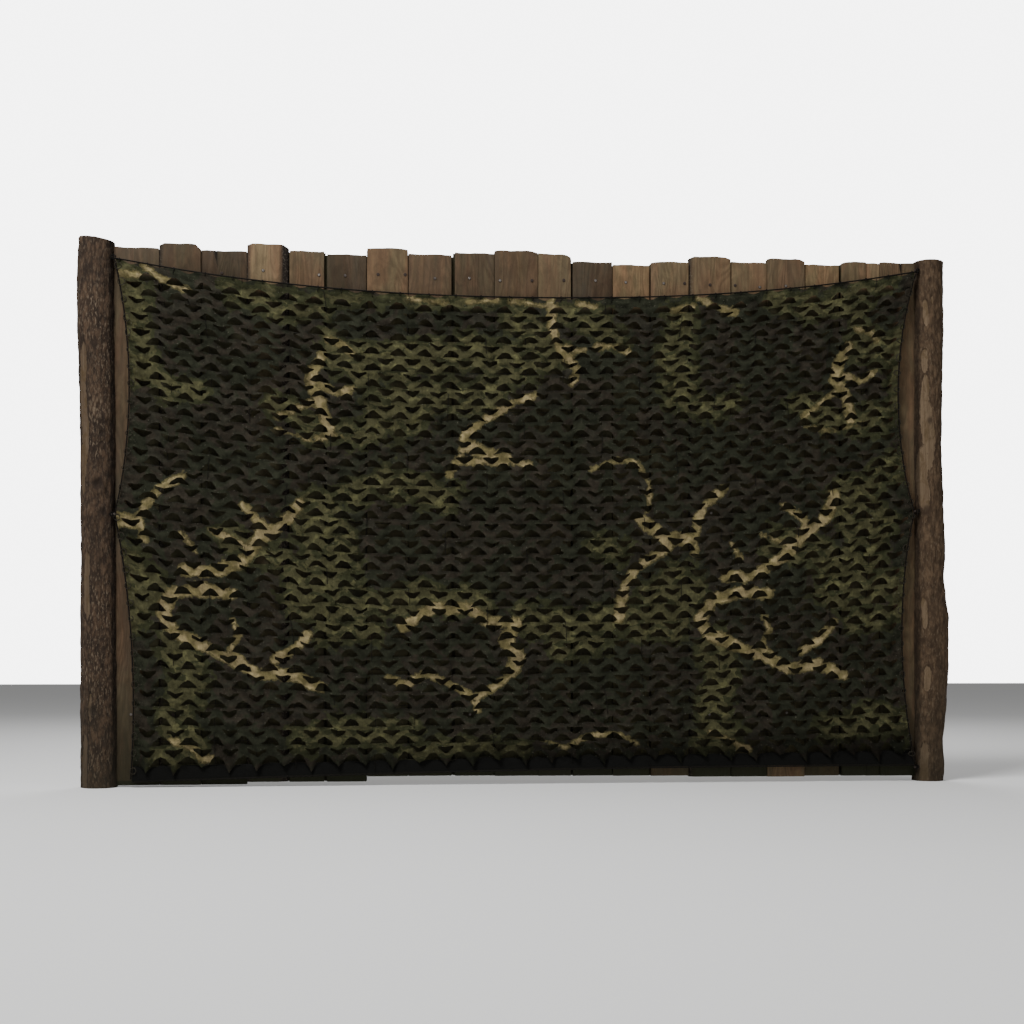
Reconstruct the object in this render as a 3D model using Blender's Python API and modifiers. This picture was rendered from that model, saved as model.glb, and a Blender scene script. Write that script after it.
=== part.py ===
"""Camouflage netting hung on a log-post board fence.

One printed, leaf-cut sheet hangs from a sagging border cord that is nailed to two
round log posts. Upright boards stand behind it on three rails, which are let into the
backs of the posts. Metres, +Z up; the origin is on the ground midway between the
posts, and the cloth faces -Y.
"""

import math
from typing import NamedTuple

import bmesh
import bpy
from mathutils import Matrix, Vector

# ---------------------------------------------------------------- driving dimensions
TOUCH_GAP = 0.0003  # what touching pieces keep between them

POST_SIDES = 18
POST_LOBE = 0.012  # how far a trunk is out of round, as a share of its radius

BOARD_START = -1.3835  # left side of the first board
BOARD_BACK = 0.010  # the face that is nailed to the rails
BOARD_EASE = 0.0015  # worn edges

RAIL_THICKNESS = 0.038
RAIL_HEIGHT = 0.090
RAIL_REACH = 1.492  # half the length of a rail
HOUSING_DEPTH = 0.2  # how far a cutter for a rail's end runs on, past the post
RAIL_LEVELS = {"rail_top": 1.755, "rail_middle": 0.950, "rail_bottom": 0.240}

SHEET_THICKNESS = 0.002
SHEET_DEPTH = -0.034  # the plane that the cloth hangs in
SHEET_SWELL = 0.004  # how far it bulges forward and back, slowly, across its width
HOLE_COLUMNS = 15  # leaf gaps across, at twice the real pitch
HOLE_ROWS = 16
QUADS_ACROSS = 4  # faces in one hole pitch
QUADS_DOWN = 2
HOLE_HALF_WIDTH = 0.050
HOLE_PEAK = 0.026  # from the middle of the gap up to its point
HOLE_SHOULDER = 0.004  # from the middle down to where the slanting sides start
HOLE_BASE = 0.014  # from the middle down to its flat lower side
HOLE_CURL = 0.005  # how far the cut edges lift and sink

TOP_SAG = 0.110  # fall of the upper edge between its ties
TOP_SAG_POWER = 2.2
CORD_RADIUS = 0.0025
CORD_CLEAR = 0.0005  # cloth edge to border cord
CORD_AWAY = CORD_RADIUS + CORD_CLEAR + TOUCH_GAP  # cloth edge to the cord's centre
NAIL_RADIUS = 0.0017
NAIL_HEAD_RADIUS = 0.0042
NAIL_HEAD_THICKNESS = 0.0016
NAIL_BITE = 0.016  # how deep it is driven into the post
NAIL_SIDES = 8
HEAD_OVERHANG = 0.0012  # how far a nail's head reaches over a cord that passes it


class Ring(NamedTuple):
    """One level of a trunk."""

    height: float
    radius: float
    lean: float  # sideways shift of the centre


class Post(NamedTuple):
    """A round log, flat at its foot and sawn a little aslant at its top."""

    name: str
    x: float
    top: float
    top_slope: float  # rise per metre towards +X
    phase: float
    rings: tuple


class Board(NamedTuple):
    """An upright board; its left side follows the board before it."""

    gap: float
    width: float
    top: float
    bottom: float
    thickness: float
    clip_left: float
    clip_right: float
    wane_left: float
    wane_right: float


class Span(NamedTuple):
    """A side edge of the cloth between two ties."""

    upper: tuple  # x and z
    lower: tuple
    bow: float  # how far its middle is drawn in


class Fold(NamedTuple):
    """A soft ridge (proud) or trough (negative) from one place on the cloth to another."""

    start: tuple  # x and z
    end: tuple
    width: float
    proud: float


POSTS = (
    Post("post_left", -1.4520, 1.850, -0.14, 0.4, (
        # height, radius, lean
        Ring(0.00, 0.0612, 0.0030),
        Ring(0.16, 0.0612, 0.0030),
        Ring(0.36, 0.0608, 0.0020),
        Ring(0.56, 0.0600, 0.0010),
        Ring(0.74, 0.0590, 0.0015),
        Ring(0.82, 0.0578, 0.0010),
        Ring(0.92, 0.0590, 0.0000),
        Ring(1.10, 0.0590, 0.0000),
        Ring(1.28, 0.0592, -0.0010),
        Ring(1.44, 0.0605, -0.0040),
        Ring(1.56, 0.0622, -0.0075),
        Ring(1.72, 0.0622, -0.0075),
        Ring(1.86, 0.0600, -0.0050),
    )),
    Post("post_right", 1.4585, 1.861, 0.00, 2.1, (
        Ring(0.00, 0.0540, 0.0000),
        Ring(0.06, 0.0565, 0.0015),
        Ring(0.13, 0.0530, -0.0005),
        Ring(0.28, 0.0600, 0.0060),
        Ring(0.42, 0.0640, 0.0095),
        Ring(0.58, 0.0640, 0.0095),
        Ring(0.67, 0.0590, 0.0045),
        Ring(0.73, 0.0550, 0.0010),
        Ring(0.81, 0.0580, 0.0040),
        Ring(1.00, 0.0550, 0.0005),
        Ring(1.20, 0.0515, -0.0030),
        Ring(1.44, 0.0530, -0.0015),
        Ring(1.62, 0.0545, 0.0010),
        Ring(1.87, 0.0540, 0.0005),
    )),
)

BOARDS = {
    #             gap    width  top    bottom thick  clip-l clip-r wane-l wane-r
    "board_a": Board(0.000, 0.134, 1.831, 0.006, 0.022, 0.000, 0.000, 0.000, 0.000),
    "board_b": Board(0.001, 0.139, 1.848, 0.006, 0.026, 0.008, 0.018, 0.010, 0.000),
    "board_c": Board(0.001, 0.153, 1.829, 0.006, 0.017, 0.000, 0.000, 0.000, 0.000),
    "board_d": Board(0.001, 0.139, 1.855, 0.014, 0.027, 0.004, 0.008, 0.000, 0.020),
    "board_e": Board(0.004, 0.118, 1.836, 0.013, 0.021, 0.000, 0.000, 0.000, 0.004),
    "board_f": Board(0.010, 0.135, 1.829, 0.012, 0.018, 0.000, 0.000, 0.004, 0.000),
    "board_g": Board(0.002, 0.140, 1.853, 0.030, 0.026, 0.004, 0.003, 0.000, 0.000),
    "board_h": Board(0.002, 0.149, 1.837, 0.030, 0.021, 0.000, 0.000, 0.000, 0.006),
    "board_i": Board(0.012, 0.137, 1.847, 0.029, 0.018, 0.000, 0.000, 0.004, 0.000),
    "board_j": Board(0.001, 0.151, 1.858, 0.028, 0.025, 0.004, 0.010, 0.000, 0.000),
    "board_k": Board(0.001, 0.116, 1.851, 0.027, 0.022, 0.000, 0.016, 0.000, 0.005),
    "board_l": Board(0.007, 0.140, 1.828, 0.026, 0.018, 0.000, 0.000, 0.000, 0.000),
    "board_m": Board(0.002, 0.130, 1.821, 0.025, 0.021, 0.000, 0.000, 0.000, 0.000),
    "board_n": Board(0.005, 0.135, 1.836, 0.024, 0.022, 0.006, 0.000, 0.000, 0.000),
    "board_o": Board(0.002, 0.148, 1.857, 0.020, 0.027, 0.010, 0.006, 0.016, 0.000),
    "board_p": Board(0.003, 0.130, 1.842, 0.019, 0.022, 0.000, 0.000, 0.000, 0.000),
    "board_q": Board(0.001, 0.136, 1.858, 0.018, 0.025, 0.003, 0.010, 0.000, 0.000),
    "board_r": Board(0.002, 0.125, 1.842, 0.020, 0.019, 0.000, 0.000, 0.000, 0.000),
    "board_s": Board(0.009, 0.089, 1.855, 0.019, 0.023, 0.005, 0.000, 0.000, 0.000),
    "board_t": Board(0.001, 0.051, 1.853, 0.018, 0.018, 0.000, 0.000, 0.000, 0.000),
    "board_u": Board(0.001, 0.116, 1.856, 0.018, 0.021, 0.000, 0.000, 0.000, 0.000),
}

# Corners and ties of the cloth, x and z: nails hold all but the lower left one.
TOP_LEFT = (-1.388, 1.779)
TOP_RIGHT = (1.396, 1.812)
MIDDLE_LEFT = (-1.388, 0.921)
MIDDLE_RIGHT = (1.391, 0.962)
BOTTOM_LEFT = (-1.337, 0.022)
BOTTOM_RIGHT = (1.396, 0.060)

LEFT_SPANS = (
    Span(TOP_LEFT, MIDDLE_LEFT, 0.046),
    Span(MIDDLE_LEFT, BOTTOM_LEFT, 0.029),
)
RIGHT_SPANS = (
    Span(TOP_RIGHT, MIDDLE_RIGHT, 0.059),
    Span(MIDDLE_RIGHT, BOTTOM_RIGHT, 0.045),
)
HEM_SAG = 0.012  # how far the lower edge hangs under its corners' line

FOLDS = (
    #    start            end              width  proud
    Fold((-1.36, 1.76), (-0.62, 1.28), 0.070, 0.012),
    Fold((1.37, 1.79), (0.66, 1.30), 0.075, 0.012),
    Fold((-1.37, 0.93), (-0.55, 1.08), 0.060, 0.011),
    Fold((-1.37, 0.90), (-0.70, 0.58), 0.060, 0.009),
    Fold((1.37, 0.96), (0.60, 1.12), 0.065, 0.010),
    Fold((1.37, 0.94), (0.72, 0.62), 0.060, 0.010),
    Fold((-0.42, 1.60), (-0.30, 0.70), 0.090, -0.006),
    Fold((0.24, 1.62), (0.34, 0.62), 0.110, 0.008),
    Fold((-0.95, 0.52), (-0.90, 0.04), 0.080, 0.010),
    Fold((-0.10, 0.50), (-0.16, 0.05), 0.090, 0.011),
    Fold((0.70, 0.46), (0.76, 0.07), 0.080, 0.010),
    Fold((0.28, 0.40), (0.22, 0.07), 0.070, -0.006),
    Fold((1.36, 0.08), (0.86, 0.34), 0.060, 0.009),
)


# ------------------------------------------------------------------------- helpers
def clear_scene():
    for obj in list(bpy.data.objects):
        bpy.data.objects.remove(obj, do_unlink=True)


def make_collection(name):
    collection = bpy.data.collections.new(name)
    bpy.context.scene.collection.children.link(collection)
    return collection


def make_material(name, colour, roughness, metallic=0.0):
    material = bpy.data.materials.new(name)
    material.use_nodes = True
    shader = material.node_tree.nodes["Principled BSDF"]
    shader.inputs["Base Color"].default_value = (*colour, 1.0)
    shader.inputs["Roughness"].default_value = roughness
    shader.inputs["Metallic"].default_value = metallic
    return material


def add_object(name, mesh, collection, material=None):
    obj = bpy.data.objects.new(name, mesh)
    collection.objects.link(obj)
    if material is not None:
        obj.data.materials.append(material)
    return obj


def mesh_from(bm, name):
    bmesh.ops.recalc_face_normals(bm, faces=bm.faces)
    mesh = bpy.data.meshes.new(name)
    bm.to_mesh(mesh)
    bm.free()
    return mesh


def box_bmesh(low, high):
    bm = bmesh.new()
    bmesh.ops.create_cube(bm, size=1.0)
    low, high = Vector(low), Vector(high)
    size = high - low
    middle = (high + low) / 2
    bmesh.ops.scale(bm, vec=size, verts=bm.verts)
    bmesh.ops.translate(bm, vec=middle, verts=bm.verts)
    return bm


def chamfer(bm, amount, inside):
    """Cut off the edges whose middle passes the test, by the amount."""
    if amount <= 0:
        return
    edges = [e for e in bm.edges if inside((e.verts[0].co + e.verts[1].co) / 2)]
    bmesh.ops.bevel(
        bm, geom=edges, offset=amount, offset_type="OFFSET", segments=1, profile=0.5,
        affect="EDGES",
    )


def blend(rows, height):
    """A ring's radius and lean at any height, read smoothly between the rows."""
    for low, high in zip(rows, rows[1:]):
        if height <= high.height:
            t = max(0.0, (height - low.height) / (high.height - low.height))
            t = t * t * (3 - 2 * t)
            radius = low.radius + (high.radius - low.radius) * t
            return radius, low.lean + (high.lean - low.lean) * t
    return rows[-1].radius, rows[-1].lean


# --------------------------------------------------------------------------- frame
def trunk_radius(post, angle, height):
    """Distance from the trunk's centre to its bark, a little out of round."""
    radius, _ = blend(post.rings, height)
    lobes = math.sin(3 * angle + post.phase + 1.6 * height)
    lobes += 0.7 * math.sin(5 * angle - 2 * post.phase - 2.3 * height)
    return radius * (1 + POST_LOBE * lobes)


def build_post(post, collection, cutters, material):
    bm = bmesh.new()
    bmesh.ops.create_cone(
        bm, cap_ends=True, segments=POST_SIDES, radius1=1.0, radius2=1.0, depth=1.0,
    )
    bmesh.ops.translate(bm, vec=(0, 0, 0.5), verts=bm.verts)
    for ring in post.rings[1:-1]:
        bmesh.ops.bisect_plane(
            bm, geom=bm.verts[:] + bm.edges[:] + bm.faces[:],
            plane_co=(0, 0, ring.height / post.top), plane_no=(0, 0, 1),
        )
    for vert in bm.verts:
        angle = math.atan2(vert.co.y, vert.co.x)
        height = vert.co.z * post.top
        _, lean = blend(post.rings, height)
        radius = trunk_radius(post, angle, height)
        side = radius * math.cos(angle)
        slant = post.top_slope * side if vert.co.z > 0.999 else 0.0
        vert.co = Vector((post.x + lean + side, radius * math.sin(angle), height + slant))
    obj = add_object(post.name, mesh_from(bm, post.name), collection, material)
    for rail, level in RAIL_LEVELS.items():
        cut_out(obj, build_housing(f"cut_{post.name}_{rail}", post, level, cutters))
    return obj


def cut_out(obj, cutter):
    cutter.hide_render = True
    cutter.display_type = "WIRE"
    boolean = obj.modifiers.new(cutter.name, "BOOLEAN")
    boolean.operation = "DIFFERENCE"
    boolean.solver = "EXACT"
    boolean.object = cutter


def build_housing(name, post, level, cutters):
    """The pocket in a post's back that takes the end of one rail."""
    side = math.copysign(1.0, post.x)
    outer = side * (RAIL_REACH + TOUCH_GAP)
    inner = post.x - side * HOUSING_DEPTH
    half = RAIL_HEIGHT / 2 + TOUCH_GAP
    low = (min(outer, inner), BOARD_BACK, level - half)
    high = (max(outer, inner), HOUSING_DEPTH, level + half)
    return add_object(name, mesh_from(box_bmesh(low, high), name), cutters)


def build_rail(name, level, collection, material):
    front = BOARD_BACK + TOUCH_GAP
    low = (-RAIL_REACH, front, level - RAIL_HEIGHT / 2)
    high = (RAIL_REACH, front + RAIL_THICKNESS, level + RAIL_HEIGHT / 2)
    obj = add_object(name, mesh_from(box_bmesh(low, high), name), collection, material)
    ease_edges(obj)
    return obj


def ease_edges(obj):
    bevel = obj.modifiers.new("worn_edges", "BEVEL")
    bevel.width = BOARD_EASE
    bevel.segments = 1
    bevel.limit_method = "ANGLE"


def build_board(name, row, left, collection, material):
    right = left + row.width
    front = BOARD_BACK - row.thickness
    bm = box_bmesh((left, front, row.bottom), (right, BOARD_BACK, row.top))
    near = row.width / 4
    low_tip = row.top - 0.001
    chamfer(bm, row.clip_left, lambda p: p.z > low_tip and p.x < left + 0.001)
    chamfer(bm, row.clip_right, lambda p: p.z > low_tip and p.x > right - 0.001)
    middle = (row.top + row.bottom) / 2
    chamfer(bm, row.wane_left, lambda p: is_front_edge(p, front, middle) and p.x < left + near)
    chamfer(bm, row.wane_right, lambda p: is_front_edge(p, front, middle) and p.x > right - near)
    obj = add_object(name, mesh_from(bm, name), collection, material)
    ease_edges(obj)
    return right


def is_front_edge(point, front, middle):
    """Whether an edge's middle lies on a board's front, half way up."""
    return point.y < front + 0.001 and abs(point.z - middle) < 0.2


# --------------------------------------------------------------------------- cloth
def top_edge(u):
    """The sagging upper edge, from the left tie (u = 0) to the right one (u = 1)."""
    x = TOP_LEFT[0] + (TOP_RIGHT[0] - TOP_LEFT[0]) * u
    chord = TOP_LEFT[1] + (TOP_RIGHT[1] - TOP_LEFT[1]) * u
    fall = 1 - abs(2 * u - 1) ** TOP_SAG_POWER
    return Vector((x, chord - TOP_SAG * fall))


def hem_edge(u):
    """The lower edge, hanging a little under the line between its corners."""
    x = BOTTOM_LEFT[0] + (BOTTOM_RIGHT[0] - BOTTOM_LEFT[0]) * u
    chord = BOTTOM_LEFT[1] + (BOTTOM_RIGHT[1] - BOTTOM_LEFT[1]) * u
    return Vector((x, chord + HEM_SAG * math.sin(math.pi * u)))


def side_edge(spans, v, inward):
    """A side edge from top (v = 0) to hem (v = 1), drawn in between its ties."""
    top, foot = spans[0].upper[1], spans[-1].lower[1]
    height = top + (foot - top) * v
    span = spans[0] if height > spans[0].lower[1] else spans[1]
    t = (span.upper[1] - height) / (span.upper[1] - span.lower[1])
    chord = span.upper[0] + (span.lower[0] - span.upper[0]) * t
    return Vector((chord + inward * span.bow * 4 * t * (1 - t), height))


def sheet_plan(u, v):
    """Where a place on the flat sheet hangs, in x and z: blended from its four edges."""
    left, right = side_edge(LEFT_SPANS, v, 1), side_edge(RIGHT_SPANS, v, -1)
    top, hem = top_edge(u), hem_edge(u)
    corners = (Vector(TOP_LEFT) * (1 - u) + Vector(TOP_RIGHT) * u) * (1 - v)
    corners += (Vector(BOTTOM_LEFT) * (1 - u) + Vector(BOTTOM_RIGHT) * u) * v
    return top * (1 - v) + hem * v + left * (1 - u) + right * u - corners


def sheet_depth(x, z):
    """Depth of the cloth: its plane, a slow swell, and the pulled folds."""
    depth = SHEET_DEPTH
    depth -= SHEET_SWELL * math.sin(2.4 * x + 0.6) * math.sin(math.pi * z / 1.75)
    for fold in FOLDS:
        start, end = Vector(fold.start), Vector(fold.end)
        along = end - start
        t = (Vector((x, z)) - start).dot(along) / along.length_squared
        t = min(1.0, max(0.0, t))
        away = (Vector((x, z)) - start - along * t).length
        fade = math.sin(math.pi * (0.15 + 0.85 * t)) ** 0.8
        depth -= fold.proud * fade * math.exp(-((away / fold.width) ** 2))
    return depth


def on_sheet(u, v):
    plan = sheet_plan(u, v)
    return Vector((plan.x, sheet_depth(plan.x, plan.y), plan.y))


def hole_corner(column, row):
    """The gap that a grid vertex borders, as (place round it, above it), or None.

    Gaps lie in every second row of faces, two faces wide, and each row of gaps is
    set over by half a pitch from the one above.
    """
    for face_row, above in ((row, True), (row - 1, False)):
        if not is_gap_row(face_row):
            continue
        shift = gap_shift(face_row)
        place = (column - shift) % QUADS_ACROSS
        first = column - place
        if place <= 2 and gap_inside(first):
            return place - 1, above
    return None


def is_gap_row(face_row):
    return face_row % QUADS_DOWN == 1 and 0 < face_row < HOLE_ROWS * QUADS_DOWN - 1


def gap_shift(face_row):
    return 1 if face_row // QUADS_DOWN % 2 == 0 else 3


def gap_inside(first):
    return first >= 1 and first + 2 <= HOLE_COLUMNS * QUADS_ACROSS - 1


def is_gap_face(column, face_row):
    if not is_gap_row(face_row):
        return False
    place = (column - gap_shift(face_row)) % QUADS_ACROSS
    return place <= 1 and gap_inside(column - place)


def build_netting(collection, material):
    columns, rows = HOLE_COLUMNS * QUADS_ACROSS, HOLE_ROWS * QUADS_DOWN
    bm = bmesh.new()
    bmesh.ops.create_grid(bm, x_segments=columns, y_segments=rows, size=0.5)
    gaps = []
    for face in bm.faces:
        middle = face.calc_center_median()
        column = math.floor((middle.x + 0.5) * columns)
        face_row = math.floor((0.5 - middle.y) * rows)
        if is_gap_face(column, face_row):
            gaps.append(face)
    bmesh.ops.delete(bm, geom=gaps, context="FACES_ONLY")
    loose = [e for e in bm.edges if not e.link_faces]
    bmesh.ops.delete(bm, geom=loose, context="EDGES")
    for vert in bm.verts:
        column = round((vert.co.x + 0.5) * columns)
        row = round((0.5 - vert.co.y) * rows)
        vert.co = place_vertex(column, row, columns, rows)
    mesh = mesh_from(bm, "netting")
    obj = add_object("netting", mesh, collection, material)
    solidify = obj.modifiers.new("cloth_thickness", "SOLIDIFY")
    solidify.thickness = SHEET_THICKNESS
    solidify.offset = 0.0
    solidify.use_rim = True
    return obj


def place_vertex(column, row, columns, rows):
    """A grid vertex, moved to the rim of its gap where it has one, on the hung sheet."""
    corner = hole_corner(column, row)
    if corner is None:
        return on_sheet(column / columns, row / rows)
    place, above = corner
    middle = row + 0.5 if above else row - 0.5
    centre = on_sheet((column - place) / columns, middle / rows)
    if above:
        rise = HOLE_PEAK if place == 0 else -HOLE_SHOULDER
    else:
        rise = -HOLE_BASE
    x = centre.x + place * HOLE_HALF_WIDTH
    z = centre.z + rise
    curl = HOLE_CURL * (1 if above else -1) * (1 if place == 0 else 0.4)
    return Vector((x, sheet_depth(x, z) - curl, z))


# --------------------------------------------------------------- border cord and nails
class Tie(NamedTuple):
    """A nail that holds the border cord beside a place on the cloth's edge."""

    post: int
    across: float  # 0 at the sheet's left edge, 1 at its right
    down: float  # 0 at its upper edge, 1 at its hem
    corner: int  # 1 at an upper corner, -1 at a lower one, 0 where the cord passes


def middle_tie(spans):
    """How far down a side edge its middle tie lies, as a share of the edge."""
    top, foot = spans[0].upper[1], spans[-1].lower[1]
    return (top - spans[0].lower[1]) / (top - foot)


TIES = {
    "nail_left_top": Tie(0, 0.0, 0.0, 1),
    "nail_left_middle": Tie(0, 0.0, middle_tie(LEFT_SPANS), 0),
    "nail_right_top": Tie(1, 1.0, 0.0, 1),
    "nail_right_middle": Tie(1, 1.0, middle_tie(RIGHT_SPANS), 0),
    "nail_right_foot": Tie(1, 1.0, 1.0, -1),
}


def tie_point(tie):
    """The centre of the border cord beside the cloth's edge at a tie."""
    side = 1 if tie.across > 0.5 else -1
    away = Vector((0, 0, tie.corner)) if tie.corner else Vector((side, 0, 0))
    return on_sheet(tie.across, tie.down) + away * CORD_AWAY


def tie_axis(tie):
    """The post's centre at a tie, the level way from it to the cord, and how far."""
    post = POSTS[tie.post]
    point = tie_point(tie)
    _, lean = blend(post.rings, point.z)
    centre = Vector((post.x + lean, 0, point.z))
    run = point - centre
    return centre, run.normalized(), run.length


def bark_at(tie):
    """Distance from the post's centre to its bark on the side of a tie."""
    centre, way, _ = tie_axis(tie)
    return trunk_radius(POSTS[tie.post], math.atan2(way.y, way.x), centre.z)


def bark_point(tie):
    """Where a cord that ends at a tie meets the post."""
    centre, way, _ = tie_axis(tie)
    return centre + way * (bark_at(tie) + TOUCH_GAP)


def outward(points, index, turn):
    """Normal of an edge line in the cloth's plane; turn is 1 or -1 for its side."""
    before = points[max(0, index - 1)]
    after = points[min(len(points) - 1, index + 1)]
    run = (after - before).normalized()
    return Vector((-run.z, 0, run.x)) * turn


def edge_cord(count, place, turn):
    """The line of a border cord that follows one edge of the cloth."""
    line = [place(k / count) for k in range(count + 1)]
    return [p + outward(line, k, turn) * CORD_AWAY for k, p in enumerate(line)]


def trim_side_cord(points):
    """Stop a side cord just short of the cords along the top and the hem."""
    short = 2 * CORD_RADIUS + CORD_CLEAR
    run_top = (points[1] - points[0]).normalized()
    run_foot = (points[-2] - points[-1]).normalized()
    return [points[0] + run_top * short, *points[1:-1], points[-1] + run_foot * short]


def build_cord(name, points, collection, material):
    """A cord as a tube on a line of straight steps."""
    curve = bpy.data.curves.new(name, "CURVE")
    curve.dimensions = "3D"
    curve.bevel_depth = CORD_RADIUS
    curve.bevel_resolution = 2
    curve.use_fill_caps = True
    spline = curve.splines.new("POLY")
    spline.points.add(len(points) - 1)
    for target, point in zip(spline.points, points):
        target.co = (*point, 1.0)
    return add_object(name, curve, collection, material)


def build_cords(collection, material):
    columns, rows = HOLE_COLUMNS * QUADS_ACROSS // 2, HOLE_ROWS * QUADS_DOWN
    top = edge_cord(columns, lambda t: on_sheet(t, 0), 1)
    top[0], top[-1] = tie_point(TIES["nail_left_top"]), tie_point(TIES["nail_right_top"])
    top = [bark_point(TIES["nail_left_top"]), *top, bark_point(TIES["nail_right_top"])]
    foot = edge_cord(columns, lambda t: on_sheet(t, 1), -1)
    foot[-1] = tie_point(TIES["nail_right_foot"])
    foot.append(bark_point(TIES["nail_right_foot"]))
    left = edge_cord(rows, lambda t: on_sheet(0, t), -1)
    right = edge_cord(rows, lambda t: on_sheet(1, t), 1)
    build_cord("cord_top", top, collection, material)
    build_cord("cord_bottom", foot, collection, material)
    build_cord("cord_left", trim_side_cord(left), collection, material)
    build_cord("cord_right", trim_side_cord(right), collection, material)


def turned(name, profile, collection, material=None):
    """A round piece from an outline, given from its far end to its near one."""
    mesh = bpy.data.meshes.new(name)
    lines = [(k, k + 1) for k in range(len(profile) - 1)]
    mesh.from_pydata([(r, 0, z) for r, z in profile], lines, [])
    obj = add_object(name, mesh, collection, material)
    screw = obj.modifiers.new("turned", "SCREW")
    screw.steps = NAIL_SIDES
    screw.render_steps = NAIL_SIDES
    screw.use_merge_vertices = True
    screw.merge_threshold = 0.00005
    return obj


def build_nail(name, tie, trunk, collection, cutters, material):
    """A nail driven into a post, its head over the border cord or beside the cord's end."""
    centre, way, distance = tie_axis(tie)
    if tie.corner:
        step = Vector((0, 0, tie.corner)) * (NAIL_HEAD_RADIUS + CORD_RADIUS + TOUCH_GAP)
        neck_at = distance - CORD_RADIUS
    else:
        front = Vector((way.y, -way.x, 0))
        front *= math.copysign(1.0, -front.y)
        step = front * (NAIL_HEAD_RADIUS + CORD_RADIUS - HEAD_OVERHANG)
        neck_at = distance + CORD_RADIUS + TOUCH_GAP
    start = bark_at(tie) - NAIL_BITE
    neck = neck_at - start
    nail = turned(name, (
        (0.0, neck + NAIL_HEAD_THICKNESS),
        (NAIL_HEAD_RADIUS, neck + NAIL_HEAD_THICKNESS),
        (NAIL_HEAD_RADIUS, neck),
        (NAIL_RADIUS, neck),
        (NAIL_RADIUS, 0.0),
        (0.0, 0.0),
    ), collection, material)
    bore = NAIL_RADIUS + TOUCH_GAP
    pocket = turned(f"cut_{name}", (
        (0.0, NAIL_BITE * 2),
        (bore, NAIL_BITE * 2),
        (bore, -TOUCH_GAP),
        (0.0, -TOUCH_GAP),
    ), cutters)
    turn = Vector((0, 0, 1)).rotation_difference(way).to_matrix().to_4x4()
    place = Matrix.Translation(centre + step + way * start) @ turn
    nail.matrix_world = place
    pocket.matrix_world = place
    cut_out(trunk, pocket)


# ---------------------------------------------------------------------------- main
def main():
    clear_scene()
    parts = make_collection("camouflage_netting")
    cutters = make_collection("cutters")
    bark = make_material("bark", (0.085, 0.058, 0.038), 0.9)
    plank = make_material("weathered_board", (0.13, 0.09, 0.053), 0.85)
    rail_wood = make_material("rail_timber", (0.11, 0.076, 0.046), 0.85)
    cloth = make_material("camouflage_cloth", (0.030, 0.030, 0.014), 0.9)
    cord = make_material("black_cord", (0.012, 0.011, 0.010), 0.8)
    steel = make_material("nail_steel", (0.12, 0.11, 0.10), 0.55, 0.9)

    trunks = [build_post(post, parts, cutters, bark) for post in POSTS]
    for name, level in RAIL_LEVELS.items():
        build_rail(name, level, parts, rail_wood)
    left = BOARD_START
    for name, row in BOARDS.items():
        left = build_board(name, row, left + row.gap, parts, plank)
    build_netting(parts, cloth)
    build_cords(parts, cord)
    for name, tie in TIES.items():
        build_nail(name, tie, trunks[tie.post], parts, cutters, steel)


main()
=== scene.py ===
"""Looks of the camouflage netting: leaf-cut cloth, cords, log posts, boards and finishes.

Metres throughout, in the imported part's frame: X along the fence, the cloth on the -Y
side, Z up. Nothing is read but the frame.
"""

import logging
import math
from dataclasses import dataclass, field
from enum import Enum
from typing import Any, Callable, Iterable, NamedTuple, Optional, Sequence

import bmesh
import bpy
import numpy as np
from mathutils import Matrix, Vector, noise

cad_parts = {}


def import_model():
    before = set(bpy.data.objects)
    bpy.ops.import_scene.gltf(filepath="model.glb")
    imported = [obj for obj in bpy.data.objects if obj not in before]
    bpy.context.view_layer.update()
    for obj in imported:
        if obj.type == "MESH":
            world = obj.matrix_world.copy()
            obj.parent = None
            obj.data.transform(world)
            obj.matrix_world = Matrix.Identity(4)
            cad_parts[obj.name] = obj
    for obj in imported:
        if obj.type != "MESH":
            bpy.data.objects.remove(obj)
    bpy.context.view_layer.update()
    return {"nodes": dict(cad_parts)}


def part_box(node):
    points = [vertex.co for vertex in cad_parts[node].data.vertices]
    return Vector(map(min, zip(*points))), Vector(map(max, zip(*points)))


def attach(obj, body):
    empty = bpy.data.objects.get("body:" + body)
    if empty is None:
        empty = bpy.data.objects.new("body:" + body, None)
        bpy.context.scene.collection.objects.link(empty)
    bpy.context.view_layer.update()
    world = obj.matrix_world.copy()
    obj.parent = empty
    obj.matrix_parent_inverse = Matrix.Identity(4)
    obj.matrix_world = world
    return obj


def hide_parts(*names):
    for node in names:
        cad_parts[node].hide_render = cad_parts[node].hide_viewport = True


LOG = logging.getLogger("camouflage_netting")
BODY = "root"
MM, CM = 0.001, 0.01
TINY = 1e-4  # metres that tell one face of a box from another
SEED = 4834
FLAT_MAP = "flat"  # UV map with places on the flat cloth or cord, in metres
COVER_REACH = 0.2  # metres each way that the cover's depth is stored for
STRANDS = 3  # in a cord's twist
Colour = tuple[float, float, float]
Array = np.ndarray
Piece = bpy.types.Object


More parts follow.
